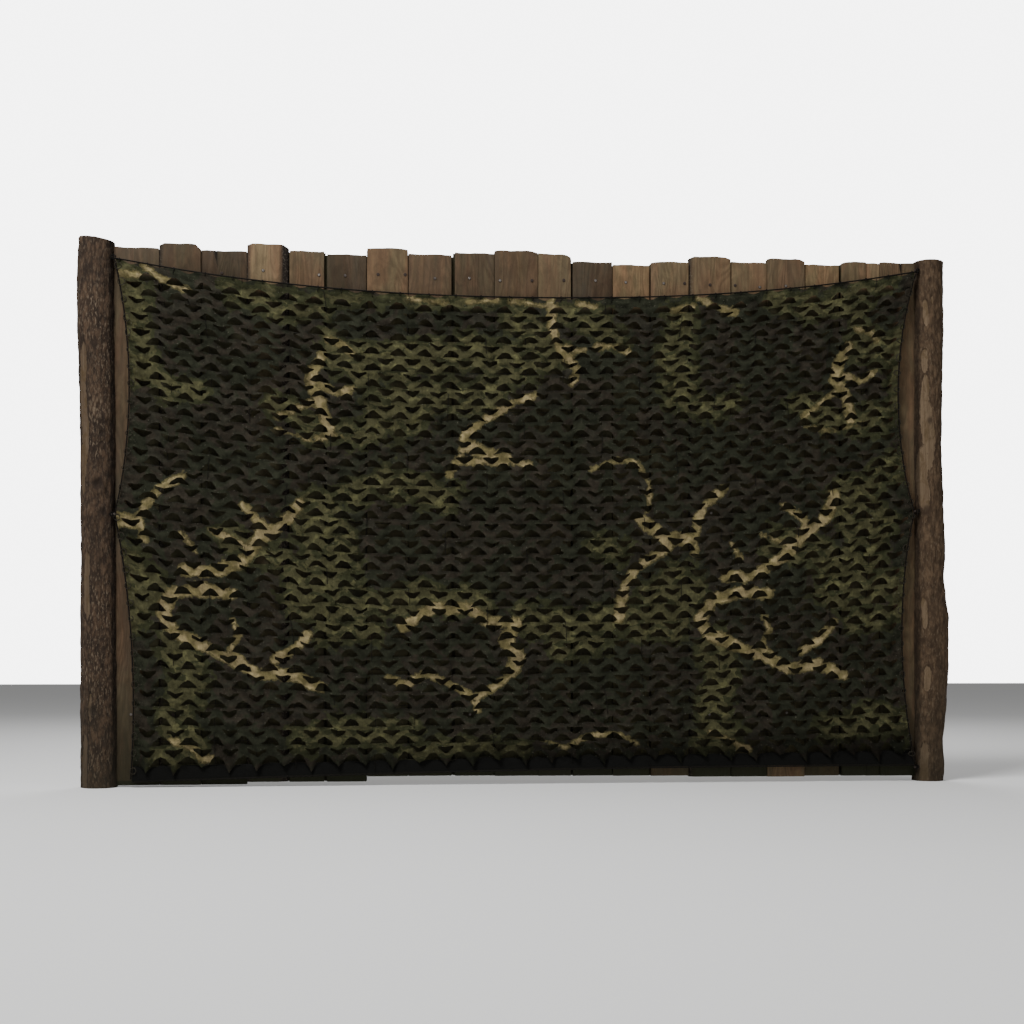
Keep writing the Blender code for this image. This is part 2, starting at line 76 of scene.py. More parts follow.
# =============================================================== working with bpy.ops
class Workbench:
    """Small hand tools: selecting, modelling, joining, smoothing and marking."""

    @staticmethod
    def clear() -> None:
        """Leave edit mode and deselect every object."""
        if bpy.context.object is not None and bpy.context.object.mode != "OBJECT":
            bpy.ops.object.mode_set(mode="OBJECT")
        bpy.ops.object.select_all(action="DESELECT")

    @staticmethod
    def take(obj: Piece) -> None:
        """Make one object the only selected and active one."""
        Workbench.clear()
        obj.select_set(True)
        bpy.context.view_layer.objects.active = obj

    @staticmethod
    def box(name: str, low: Vector, high: Vector) -> Piece:
        """Add a cube primitive that fills a box.

        Args:
            name: The object's name.
            low: Its lowest corner.
            high: Its highest corner.

        Returns:
            The object, with its place in its mesh.
        """
        Workbench.clear()
        bpy.ops.mesh.primitive_cube_add(
            size=1.0, location=(low + high) / 2, scale=high - low
        )
        obj = bpy.context.object
        obj.name = obj.data.name = name
        bpy.ops.object.transform_apply(location=True, rotation=True, scale=True)
        return obj

    @staticmethod
    def pick(
        obj: Piece, kind: str, test: Callable[[Vector, Vector], bool]
    ) -> None:
        """Enter edit mode with only some edges or faces selected.

        Args:
            obj: The mesh object.
            kind: EDGE or FACE.
            test: Takes an edge's middle and direction, or a face's centre and normal.
        """
        Workbench.take(obj)
        bpy.ops.object.mode_set(mode="EDIT")
        bpy.ops.mesh.select_mode(type=kind)
        bpy.ops.mesh.select_all(action="DESELECT")
        edit = bmesh.from_edit_mesh(obj.data)
        if kind == "EDGE":
            for edge in edit.edges:
                first, last = (vert.co for vert in edge.verts)
                way = (last - first).normalized()
                edge.select_set(test((first + last) / 2, way))
        else:
            for face in edit.faces:
                face.select_set(test(face.calc_center_median(), face.normal))
        bmesh.update_edit_mesh(obj.data)

    @staticmethod
    def edit_all(obj: Piece) -> None:
        """Enter edit mode with everything selected."""
        Workbench.take(obj)
        bpy.ops.object.mode_set(mode="EDIT")
        bpy.ops.mesh.select_all(action="SELECT")

    @staticmethod
    def apply(obj: Piece, kind: str, **settings: Any) -> None:
        """Add one modifier with its settings and apply it."""
        Workbench.take(obj)
        modifier = obj.modifiers.new(kind.lower(), kind)
        for key, value in settings.items():
            setattr(modifier, key, value)
        bpy.ops.object.modifier_apply(modifier=modifier.name)

    @staticmethod
    def smooth(obj: Piece, degrees: float) -> None:
        """Shade smooth, but for edges that turn more than the angle."""
        Workbench.take(obj)
        bpy.ops.object.shade_smooth_by_angle(angle=math.radians(degrees))
        Workbench.clear()

    @staticmethod
    def join(name: str, pieces: Sequence[Piece]) -> Piece:
        """Join several objects into one with a new name."""
        Workbench.clear()
        for piece in pieces:
            piece.select_set(True)
        bpy.context.view_layer.objects.active = pieces[0]
        bpy.ops.object.join()
        joined = bpy.context.object
        joined.name = joined.data.name = name
        Workbench.clear()
        return joined

    @staticmethod
    def read(obj: Piece) -> Array:
        """An object's vertices as rows of x, y and z."""
        places = np.empty(len(obj.data.vertices) * 3)
        obj.data.vertices.foreach_get("co", places)
        return places.reshape(-1, 3)

    @staticmethod
    def write(obj: Piece, places: Array) -> None:
        """Put vertices back where the rows say."""
        obj.data.vertices.foreach_set("co", places.ravel())
        obj.data.update()

    @staticmethod
    def mark(obj: Piece, **layers: Any) -> None:
        """Store a number for each vertex, or one for all, under names finishes read."""
        for name, values in layers.items():
            layer = obj.data.attributes.new(name, "FLOAT", "POINT")
            every = np.broadcast_to(values, len(obj.data.vertices))
            layer.data.foreach_set("value", every.astype(np.float32))

    @staticmethod
    def lay_flat(obj: Piece, flat: Array) -> None:
        """Store each vertex's place on the flat cloth or cord as a UV map."""
        layer = obj.data.uv_layers.new(name=FLAT_MAP)
        corner = np.empty(len(obj.data.loops), dtype=np.int64)
        obj.data.loops.foreach_get("vertex_index", corner)
        layer.data.foreach_set("uv", flat[corner].ravel())


def box_of(node: str) -> tuple[Vector, Vector]:
    """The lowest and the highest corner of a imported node."""
    low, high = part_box(node)
    return Vector(low), Vector(high)


def from_front(angle: Array, degrees: float = 0.0) -> Array:
    """How far round a log angles are from one given in degrees from its front."""
    centre = math.radians(degrees) - math.pi / 2
    return np.angle(np.exp(1j * (angle - centre)))


def run_length(path: Array) -> Array:
    """How far along a path each of its points is."""
    steps = np.linalg.norm(np.diff(path, axis=0), axis=1)
    return np.concatenate(([0], np.cumsum(steps)))


def points_at(marks: Any, scale: Array, path: Array) -> Array:
    """Points of a path read at marks on a scale that rises along it."""
    return np.stack([np.interp(marks, scale, path[:, k]) for k in range(3)], axis=-1)


def mesh_object(name: str, places: Array, faces: Sequence) -> Piece:
    """A new mesh object from vertices and faces.

    Args:
        name: The object's name.
        places: Rows of x, y and z.
        faces: Rows of vertex numbers.

    Returns:
        The object, linked to the scene.
    """
    mesh = bpy.data.meshes.new(name)
    mesh.from_pydata(np.asarray(places).tolist(), [], [list(f) for f in faces])
    mesh.update()
    obj = bpy.data.objects.new(name, mesh)
    bpy.context.scene.collection.objects.link(obj)
    return obj


def finish_piece(
    obj: Piece,
    material: bpy.types.Material,
    replaces: Iterable[str] = (),
) -> None:
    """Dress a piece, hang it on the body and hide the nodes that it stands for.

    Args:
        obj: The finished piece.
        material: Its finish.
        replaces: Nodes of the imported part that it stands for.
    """
    obj.data.materials.clear()
    obj.data.materials.append(material)
    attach(obj, BODY)
    nodes = list(replaces)
    if nodes:
        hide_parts(*nodes)
    LOG.info("%s: %d faces", obj.name, len(obj.data.polygons))


# =========================================================================== shaders
class Bench:
    """Wires one node tree; its methods return the socket that a next node takes."""

    def __init__(self, tree: bpy.types.NodeTree) -> None:
        """Work in this tree."""
        self.tree = tree

    def fill(self, node: Any, values: dict) -> None:
        """Feed a node's inputs, by name or number, with sockets or plain values."""
        for key, value in values.items():
            if isinstance(value, bpy.types.NodeSocket):
                self.tree.links.new(value, node.inputs[key])
            else:
                node.inputs[key].default_value = value

    def add(self, kind: str, values: Optional[dict] = None, **settings: Any) -> Any:
        """Add a node.

        Args:
            kind: The node's type.
            values: Inputs by name or number, each a socket to link or a plain value.
            settings: The node's own options.

        Returns:
            The node.
        """
        node = self.tree.nodes.new(kind)
        for key, value in settings.items():
            setattr(node, key, value)
        self.fill(node, values or {})
        return node

    def math(self, operation: str, first: Any, second: Any = 0.0) -> Any:
        """Do arithmetic on two values."""
        node = self.add("ShaderNodeMath", {0: first, 1: second}, operation=operation)
        return node.outputs[0]

    def times(self, first: Any, second: Any) -> Any:
        """Multiply two values."""
        return self.math("MULTIPLY", first, second)

    def plus(self, first: Any, second: Any) -> Any:
        """Add two values."""
        return self.math("ADD", first, second)

    def minus(self, first: Any, second: Any) -> Any:
        """Take the second value from the first."""
        return self.math("SUBTRACT", first, second)

    def grey(self, value: Any) -> Any:
        """Make a grey of one value."""
        node = self.add("ShaderNodeCombineColor", {0: value, 1: value, 2: value})
        return node.outputs[0]

    def bump(self, height: Any, strength: float, distance: float) -> Any:
        """Turn a height into a normal that shows it."""
        node = self.add(
            "ShaderNodeBump",
            {"Strength": strength, "Distance": distance, "Height": height},
        )
        return node.outputs[0]

    def mix(self, share: Any, low: Any, high: Any) -> Any:
        """Blend two colours by a share."""
        low, high = (self._rgba(value) for value in (low, high))
        node = self.add(
            "ShaderNodeMix", {0: share, 6: low, 7: high}, data_type="RGBA"
        )
        return node.outputs[2]

    def shade(self, share: Any, colour: Any, by: Any) -> Any:
        """Multiply a colour by another, as far as the share says."""
        node = self.add(
            "ShaderNodeMix",
            {0: share, 6: self._rgba(colour), 7: self._rgba(by)},
            data_type="RGBA",
            blend_type="MULTIPLY",
        )
        return node.outputs[2]

    @staticmethod
    def _rgba(value: Any) -> Any:
        """Give a plain colour its fourth number."""
        return (*value, 1.0) if isinstance(value, tuple) and len(value) == 3 else value

    def steps(
        self, value: Any, low: float, high: float, to_low: float = 0.0,
        to_high: float = 1.0,
    ) -> Any:
        """Turn a value between two limits smoothly into another range."""
        node = self.add(
            "ShaderNodeMapRange",
            {0: value, 1: low, 2: high, 3: to_low, 4: to_high},
            interpolation_type="SMOOTHSTEP",
        )
        return node.outputs[0]

    def noise(
        self, place: Any, scale: Any, detail: float = 2.0, rough: float = 0.5,
        bend: float = 0.0,
    ) -> Any:
        """Cloudy noise from 0 to 1."""
        node = self.add(
            "ShaderNodeTexNoise",
            {
                "Vector": place, "Scale": scale, "Detail": detail,
                "Roughness": rough, "Distortion": bend,
            },
        )
        return node.outputs[0]

    def cells(self, place: Any, scale: float) -> Any:
        """Distance to the nearest of scattered points."""
        node = self.add("ShaderNodeTexVoronoi", {"Vector": place, "Scale": scale})
        return node.outputs["Distance"]

    def stretch(self, place: Any, scale: Colour) -> Any:
        """Scale the places that a pattern reads."""
        node = self.add("ShaderNodeMapping", {"Vector": place, "Scale": scale})
        return node.outputs[0]

    def attribute(self, name: str) -> Any:
        """Read a number stored on the mesh."""
        return self.add("ShaderNodeAttribute", attribute_name=name).outputs["Fac"]

    def object_place(self) -> Any:
        """Read the place on the object, in metres."""
        return self.add("ShaderNodeTexCoord").outputs["Object"]

    def flat_place(self) -> Any:
        """Read the place on the flat cloth or cord, in metres."""
        return self.add("ShaderNodeUVMap", uv_map=FLAT_MAP).outputs[0]

    def group(self, tree: bpy.types.NodeTree, values: dict) -> Any:
        """Place a shared group with its own values."""
        return self.add("ShaderNodeGroup", values, node_tree=tree)


class SharedEffects:
    """Node groups that several finishes use: grain, weather and weave."""

    SEED_SHIFT = (3.7, 1.9, 5.3)  # how far one step of seed moves the grain

    def __init__(self) -> None:
        """Build each group once."""
        self.grain = self._grain()
        self.weather = self._weather()
        self.weave = self._weave()

    @staticmethod
    def _open(
        name: str, takes: Sequence[tuple[str, str]], gives: Sequence[str]
    ) -> tuple[Bench, Any, Any]:
        """Start a group.

        Args:
            name: The group's name.
            takes: Names and kinds of its inputs.
            gives: Names of its outputs, all plain numbers.

        Returns:
            A bench for its tree, and its input and output nodes.
        """
        tree = bpy.data.node_groups.new(name, "ShaderNodeTree")
        for label, kind in takes:
            tree.interface.new_socket(label, in_out="INPUT", socket_type=kind)
        for label in gives:
            tree.interface.new_socket(
                label, in_out="OUTPUT", socket_type="NodeSocketFloat"
            )
        bench = Bench(tree)
        return bench, bench.add("NodeGroupInput"), bench.add("NodeGroupOutput")

    def _grain(self) -> bpy.types.NodeTree:
        """Growth rings cut through lengthways, with fine fibres and knots."""
        bench, given, out = self._open(
            "timber_grain",
            [("Place", "NodeSocketVector"), ("Seed", "NodeSocketFloat"),
             ("Rings", "NodeSocketFloat")],
            ["Ring", "Fibre", "Knot", "Mottle"],
        )
        offset = bench.add(
            "ShaderNodeCombineXYZ",
            {axis: bench.times(given.outputs["Seed"], shift)
             for axis, shift in enumerate(self.SEED_SHIFT)},
        )
        place = bench.add(
            "ShaderNodeVectorMath",
            {0: given.outputs["Place"], 1: offset.outputs[0]}, operation="ADD",
        ).outputs[0]
        knot = bench.cells(bench.stretch(place, (1.0, 1.0, 0.45)), 3.1)
        pull = bench.steps(knot, 0.02, 0.16, 0.45, 0.0)
        swirl = bench.noise(bench.stretch(place, (1.0, 1.0, 0.2)), 9.0, 2.0, 0.45, 0.7)
        bands = bench.times(swirl, given.outputs["Rings"])
        bands = bench.plus(bands, bench.times(pull, 6.0))
        ring = bench.math("PINGPONG", bands, 0.5)
        ring = bench.times(ring, 2.0)
        fibre = bench.noise(bench.stretch(place, (1.0, 1.0, 0.06)), 150.0, 4.0, 0.75)
        mottle = bench.noise(bench.stretch(place, (1.0, 1.0, 0.4)), 42.0, 4.0, 0.72, 0.8)
        bench.fill(out, {
            "Ring": bench.steps(ring, 0.15, 0.95), "Fibre": fibre, "Mottle": mottle,
            "Knot": bench.steps(knot, 0.055, 0.035),
        })
        return bench.tree

    def _weather(self) -> bpy.types.NodeTree:
        """Grey patches, dark runs and damp near the ground."""
        bench, given, out = self._open(
            "weathering",
            [("Place", "NodeSocketVector"), ("Seed", "NodeSocketFloat")],
            ["Grey", "Run", "Damp"],
        )
        place = bench.add(
            "ShaderNodeVectorMath",
            {0: given.outputs["Place"], 1: given.outputs["Seed"]}, operation="ADD",
        ).outputs[0]
        cloud = bench.noise(bench.stretch(place, (1.0, 1.0, 0.3)), 9.0, 3.0, 0.6)
        run = bench.noise(bench.stretch(place, (1.0, 1.0, 0.04)), 46.0, 2.0, 0.6)
        height = bench.add(
            "ShaderNodeSeparateXYZ", {0: given.outputs["Place"]}
        ).outputs[2]
        ragged = bench.times(bench.minus(cloud, 0.5), 0.5)
        low = bench.plus(height, ragged)
        bench.fill(out, {
            "Grey": bench.steps(cloud, 0.42, 0.68), "Run": bench.steps(run, 0.50, 0.72),
            "Damp": bench.steps(low, 0.42, 0.02),
        })
        return bench.tree

    def _weave(self) -> bpy.types.NodeTree:
        """Crossing threads on the flat cloth."""
        bench, given, out = self._open(
            "plain_weave",
            [("Place", "NodeSocketVector"), ("Threads", "NodeSocketFloat")],
            ["Height", "Slub"],
        )
        split = bench.add("ShaderNodeSeparateXYZ", {0: given.outputs["Place"]})
        waves = []
        for axis in (0, 1):
            turn = bench.times(split.outputs[axis], given.outputs["Threads"])
            waves.append(bench.math("SINE", bench.times(turn, math.tau)))
        height = bench.times(waves[0], waves[1])
        slub = bench.noise(
            bench.stretch(given.outputs["Place"], (1.0, 0.12, 1.0)), 240.0, 2.0
        )
        bench.fill(out, {"Height": height, "Slub": slub})
        return bench.tree


def new_material(name: str) -> tuple[bpy.types.Material, Bench, Any]:
    """An empty material with its own shader.

    Args:
        name: The material's name.

    Returns:
        The material, a bench for its tree, and its Principled BSDF.
    """
    material = bpy.data.materials.new(name)
    material.use_nodes = True
    bench = Bench(material.node_tree)
    return material, bench, material.node_tree.nodes["Principled BSDF"]


@dataclass(frozen=True)
class Finish:
    """A named finish; each kind wires its own shader."""

    name: str

    def build(self, effects: SharedEffects) -> bpy.types.Material:
        """Make the material.

        Args:
            effects: The shared node groups.

        Returns:
            The material.
        """
        material, bench, shader = new_material(self.name)
        self.wire(bench, shader, effects)
        return material

    def wire(self, bench: Bench, shader: Any, effects: SharedEffects) -> None:
        """Wire the finish's own nodes into its shader."""
        raise NotImplementedError


class BoardTone(Enum):
    """Tones of the weathered boards: light wood, dark wood and share of grey."""

    BRIGHT = ((0.185, 0.124, 0.072), (0.110, 0.072, 0.042), 0.10)
    PALE = ((0.148, 0.100, 0.055), (0.085, 0.056, 0.031), 0.12)
    FAIR = ((0.122, 0.084, 0.048), (0.068, 0.045, 0.026), 0.15)
    PLAIN = ((0.100, 0.068, 0.039), (0.054, 0.036, 0.021), 0.20)
    DULL = ((0.083, 0.058, 0.035), (0.044, 0.030, 0.018), 0.30)
    DARK = ((0.066, 0.047, 0.029), (0.035, 0.025, 0.015), 0.40)


@dataclass(frozen=True)
class TimberFinish(Finish):
    """Sawn softwood that has stood outside: rings, fibres, knots, grey, damp and painted shade.
    """

    light: Colour
    dark: Colour
    grey_share: float
    weathered: Colour = (0.070, 0.058, 0.043)
    reddened: Colour = (1.10, 0.97, 0.92)
    greened: Colour = (0.93, 1.00, 0.93)
    wet: Colour = (0.022, 0.020, 0.011)
    bark: Colour = (0.016, 0.012, 0.009)
    rind: Colour = (0.075, 0.062, 0.048)
    # moss on the feet below the cloth's hem, also painted shade there
    moss: Colour = (0.0150, 0.0165, 0.0080)
    # painted shade: the colours that wood behind the cloth and in the gaps is darkened to
    soil: Colour = (0.0270, 0.0262, 0.0118)
    soil_dark: Colour = (0.0135, 0.0132, 0.0062)
    cover_shade: float = 0.88  # how far painted shade darkens the wood behind the cloth

    def wire(self, bench: Bench, shader: Any, effects: SharedEffects) -> None:
        """Wire the wood, its weather, the painted shade on its hidden part and in its gaps, and
        its edges of bark.
        """
        place = bench.object_place()
        seed = bench.attribute("piece_seed")
        grain = bench.group(effects.grain, {"Place": place, "Seed": seed, "Rings": 16.0})
        weather = bench.group(effects.weather, {"Place": place, "Seed": seed})
        ring, fibre, knot = (grain.outputs[k] for k in ("Ring", "Fibre", "Knot"))
        colour = bench.mix(bench.times(ring, 0.45), self.light, self.dark)
        streak = bench.steps(fibre, 0.32, 0.70, 0.88, 1.11)
        patch = bench.steps(grain.outputs["Mottle"], 0.36, 0.66, 0.84, 1.14)
        streak = bench.times(streak, patch)
        streak = bench.times(streak, bench.attribute("piece_light"))
        colour = bench.shade(1.0, colour, bench.grey(streak))
        hue = bench.noise(bench.stretch(place, (1.0, 1.0, 0.25)), 15.0, 3.0, 0.65, 0.5)
        hue = bench.mix(bench.steps(hue, 0.35, 0.65), self.reddened, self.greened)
        colour = bench.shade(1.0, colour, hue)
        grey = bench.times(weather.outputs["Grey"], self.grey_share)
        colour = bench.mix(grey, colour, self.weathered)
        runs = bench.times(weather.outputs["Run"], 0.45)
        colour = bench.mix(runs, colour, self.dark)
        colour = bench.mix(bench.times(knot, 0.8), colour, self.bark)
        damp = bench.steps(bench.attribute("piece_moss"), 0.2, 0.8, 0.0, 0.75)
        damp = bench.times(weather.outputs["Damp"], damp)
        colour = bench.mix(damp, colour, self.wet)
        # below the hem the foot goes to moss colour: moss and painted shade
        foot = bench.steps(bench.attribute("above_hem"), 0.002, -0.004)
        mossy = bench.times(foot, bench.attribute("piece_moss"))
        colour = bench.mix(mossy, colour, self.moss)
        # painted shade on the wood behind the cloth, down to the hem
        hidden = bench.steps(
            bench.attribute("cover_depth"), 0.0, 0.02, 0.0, self.cover_shade
        )
        hidden = bench.times(hidden, bench.minus(1.0, foot))
        # painted shade in the gaps between boards
        grime = bench.times(bench.attribute("grime"), 0.85)
        gloom = bench.steps(bench.noise(place, 17.0, 2.0, 0.6), 0.35, 0.65)
        gloom = bench.mix(gloom, self.soil_dark, self.soil)
        colour = bench.mix(bench.math("MAXIMUM", hidden, grime), colour, gloom)
        worn = bench.attribute("wane")
        crust = bench.noise(place, 160.0, 3.0, 0.7)
        rind = bench.mix(bench.steps(crust, 0.52, 0.66), self.bark, self.rind)
        colour = bench.mix(worn, colour, rind)
        relief = bench.times(ring, -0.5)
        relief = bench.plus(relief, fibre)
        relief = bench.plus(relief, bench.times(worn, crust))
        bump = bench.bump(relief, 0.7, 0.0012)
        bench.fill(shader, {
            "Base Color": colour, "Roughness": bench.steps(fibre, 0.2, 0.8, 0.72, 0.93),
            "Normal": bump, "Specular IOR Level": 0.15,
        })


@dataclass(frozen=True)
class BarkFinish(Finish):
    """Log bark with plates, flecks and places where the bark has fallen off."""

    deep: Colour
    plate: Colour
    fleck: Colour
    bare: Colour
    bare_dark: Colour
    fleck_share: float
    stain: Colour = (0.070, 0.045, 0.021)
    wet: Colour = (0.022, 0.020, 0.013)
    sawn: Colour = (0.6, 0.6, 0.62)  # what the sawn end's greyed wood is shaded by

    def wire(self, bench: Bench, shader: Any, effects: SharedEffects) -> None:
        """Wire the bark, the wood under it, the burls and the sawn end."""
        place = bench.object_place()
        long_way = bench.stretch(place, (1.0, 1.0, 0.42))
        plates = bench.cells(long_way, 95.0)
        cloud = bench.noise(long_way, 40.0, 4.0, 0.72)
        fine = bench.noise(bench.stretch(place, (1.0, 1.0, 0.28)), 210.0, 3.0, 0.7)
        colour = bench.mix(bench.steps(cloud, 0.34, 0.66, 0.18, 1.0), self.deep, self.plate)
        pit = bench.steps(plates, 0.35, 0.75)
        colour = bench.mix(bench.times(pit, 0.65), colour, self.deep)
        light = bench.steps(fine, 0.52, 0.66)
        patchy = bench.steps(bench.noise(place, 6.0, 2.0), 0.35, 0.65, 0.35, 1.0)
        patchy = bench.times(patchy, self.fleck_share)
        light = bench.times(light, patchy)
        colour = bench.mix(light, colour, self.fleck)
        fibre = bench.noise(bench.stretch(place, (1.0, 1.0, 0.03)), 210.0, 3.0, 0.6)
        wood = bench.mix(bench.steps(fibre, 0.3, 0.7), self.bare_dark, self.bare)
        stain = bench.steps(bench.noise(long_way, 34.0, 4.0, 0.7, 0.6), 0.46, 0.62)
        wood = bench.mix(bench.times(stain, 0.7), wood, self.stain)
        bare = bench.attribute("bare")
        ragged = bench.plus(fine, bench.times(cloud, 1.7))
        ragged = bench.minus(ragged, 1.35)
        stripped = bench.steps(bench.plus(bare, ragged), 0.45, 0.70)
        colour = bench.mix(stripped, colour, wood)
        rim = bench.times(bench.steps(bare, 0.10, 0.42), 0.55)
        rim = bench.times(rim, bench.minus(1.0, stripped))
        colour = bench.mix(rim, colour, self.deep)
        knot = bench.attribute("knot")
        colour = bench.mix(bench.times(knot, 0.8), colour, self.deep)
        burl = bench.times(bench.attribute("burl"), bench.steps(plates, 0.55, 0.25))
        colour = bench.mix(bench.times(burl, 0.75), colour, self.fleck)
        side = bench.minus(1.0, bench.times(bench.attribute("shaded"), 0.58))
        colour = bench.shade(1.0, colour, bench.grey(side))
        sawn = bench.attribute("sawn")
        rings = bench.math("SINE", bench.times(bench.attribute("ring"), 900.0))
        cut = bench.mix(bench.steps(rings, -0.6, 0.9), self.bare_dark, self.bare)
        cut = bench.shade(0.6, cut, self.sawn)
        colour = bench.mix(sawn, colour, cut)
        weather = bench.group(effects.weather, {"Place": place, "Seed": 4.0})
        damp = bench.times(weather.outputs["Damp"], 0.45)
        colour = bench.mix(damp, colour, self.wet)
        rough = bench.times(bench.minus(1.0, stripped), fine)
        relief = bench.plus(rough, bench.times(fibre, 0.3))
        relief = bench.minus(relief, bench.times(pit, 0.5))
        bump = bench.bump(relief, 0.8, 0.0022)
        bench.fill(shader, {
            "Base Color": colour,
            "Roughness": bench.steps(stripped, 0.0, 1.0, 0.92, 0.75),
            "Normal": bump, "Specular IOR Level": 0.12,
        })


@dataclass(frozen=True)
class ClothFinish(Finish):
    """Printed woven polyester: dark ground, olive blotches, pale twigs, worn cut edges, with
    painted glints, painted light and shade and a painted-shade hem.
    """

    name: str = "camouflage_print"
    charcoal: Colour = (0.0215, 0.0200, 0.0142)
    umber: Colour = (0.0235, 0.0196, 0.0140)
    forest: Colour = (0.0180, 0.0192, 0.0120)
    olive: Colour = (0.0490, 0.0470, 0.0230)
    olive_light: Colour = (0.0790, 0.0760, 0.0345)
    moss: Colour = (0.0265, 0.0280, 0.0136)
    twig: Colour = (0.2050, 0.1650, 0.0850)
    twig_pale: Colour = (0.1200, 0.1000, 0.0440)
    twig_edge: Colour = (0.0700, 0.0600, 0.0270)
    # the hem strip's near-black colour: painted shade under the lowest leaves
    hem: Colour = (0.0064, 0.0064, 0.0058)
    hem_shade: float = 0.36
    # pale specks on the cut edges: fray, and painted glints where leaf curls catch light
    thread: Colour = (0.1000, 0.0950, 0.0700)
    edge_ragged: float = 0.17  # how far a blotch's edge wanders, as a share of its noise
    threads: float = 900.0

    def wire(self, bench: Bench, shader: Any, effects: SharedEffects) -> None:
        """Wire the ground, the print on it, the weave, the cut edges and the painted light and
        shade.
        """
        flat = bench.flat_place()
        broad = bench.minus(bench.noise(flat, 13.0, 3.0, 0.6), 0.5)
        small = bench.minus(bench.noise(flat, 75.0, 2.0, 0.6), 0.5)
        tone = bench.noise(flat, 7.5, 3.0, 0.6, 0.8)
        drift = bench.noise(bench.stretch(flat, (1.0, 1.8, 1.0)), 15.0, 3.0, 0.6, 0.6)
        colour = bench.mix(bench.steps(drift, 0.46, 0.54), self.charcoal, self.umber)
        colour = bench.mix(bench.steps(tone, 0.48, 0.53), colour, self.forest)
        ragged = bench.times(broad, self.edge_ragged)
        ragged = bench.plus(ragged, bench.times(small, 0.02))
        blotch = bench.plus(bench.attribute("blotch_reach"), ragged)
        green = bench.steps(blotch, 0.028, 0.018)
        colour = bench.mix(green, colour, self.moss)
        holes = bench.steps(drift, 0.60, 0.54)
        inner = bench.times(bench.steps(blotch, 0.004, -0.006), holes)
        colour = bench.mix(inner, colour, self.olive)
        sunny = bench.steps(bench.noise(flat, 26.0, 2.0, 0.6), 0.52, 0.64)
        colour = bench.mix(bench.times(inner, sunny), colour, self.olive_light)
        wobble = bench.times(small, 0.022)
        wobble = bench.plus(wobble, bench.times(broad, 0.034))
        stroke = bench.plus(bench.attribute("twig_reach"), wobble)
        colour = bench.mix(bench.steps(stroke, 0.0055, 0.001), colour, self.twig_edge)
        tan = bench.noise(flat, 21.0, 2.0, 0.5)
        tan = bench.mix(bench.steps(tan, 0.42, 0.58), self.twig, self.twig_pale)
        colour = bench.mix(bench.steps(stroke, 0.0, -0.005), colour, tan)
        weave = bench.group(effects.weave, {"Place": flat, "Threads": self.threads})
        mottle = bench.steps(bench.noise(flat, 40.0, 3.0, 0.7), 0.32, 0.68, 0.80, 1.34)
        slub = bench.steps(weave.outputs["Slub"], 0.3, 0.7, 0.93, 1.07)
        value = bench.times(mottle, slub)
        # painted light and shade of the leaf lobes, times each leaf's own tone
        value = bench.times(value, bench.attribute("lobe_light"))
        shaded = bench.steps(bench.attribute("near_hem"), 0.0, 1.0, 1.0, self.hem_shade)
        value = bench.times(value, shaded)
        colour = bench.shade(1.0, colour, bench.grey(value))
        # pale fray and painted glints on the curled cut edges
        fray = bench.steps(bench.noise(flat, 150.0, 2.0, 0.6), 0.62, 0.70)
        fray = bench.times(fray, bench.attribute("cut_edge"))
        colour = bench.mix(bench.times(fray, 0.7), colour, self.thread)
        # the hem strip goes near black: painted shade
        colour = bench.mix(bench.attribute("hem_share"), colour, self.hem)
        height = bench.plus(weave.outputs["Height"], bench.times(small, 3.0))
        bump = bench.bump(height, 0.5, 0.0004)
        bench.fill(shader, {
            "Base Color": colour,
            "Roughness": bench.steps(weave.outputs["Slub"], 0.2, 0.8, 0.82, 0.94),
            "Normal": bump, "Specular IOR Level": 0.05,
        })


@dataclass(frozen=True)
class CordFinish(Finish):
    """Twisted cord: strands that run round it, with lint caught between them."""

    dark: Colour
    light: Colour
    lay: float
    threads: float = 1500.0

    def wire(self, bench: Bench, shader: Any, effects: SharedEffects) -> None:
        """Wire the strands and the lint."""
        flat = bench.flat_place()
        split = bench.add("ShaderNodeSeparateXYZ", {0: flat})
        turn = bench.times(split.outputs[0], math.tau / self.lay)
        turn = bench.plus(turn, bench.times(split.outputs[1], math.tau * STRANDS))
        strand = bench.math("SINE", turn)
        lint = bench.noise(bench.object_place(), 420.0, 2.0, 0.6)
        share = bench.times(bench.steps(strand, -0.2, 0.9), lint)
        colour = bench.mix(share, self.dark, self.light)
        weave = bench.group(effects.weave, {"Place": flat, "Threads": self.threads})
        height = bench.plus(strand, bench.times(weave.outputs["Slub"], 0.4))
        bump = bench.bump(height, 0.6, 0.0004)
        bench.fill(shader, {
            "Base Color": colour, "Roughness": bench.steps(lint, 0.3, 0.7, 0.7, 0.9),
            "Normal": bump, "Specular IOR Level": 0.1,
        })


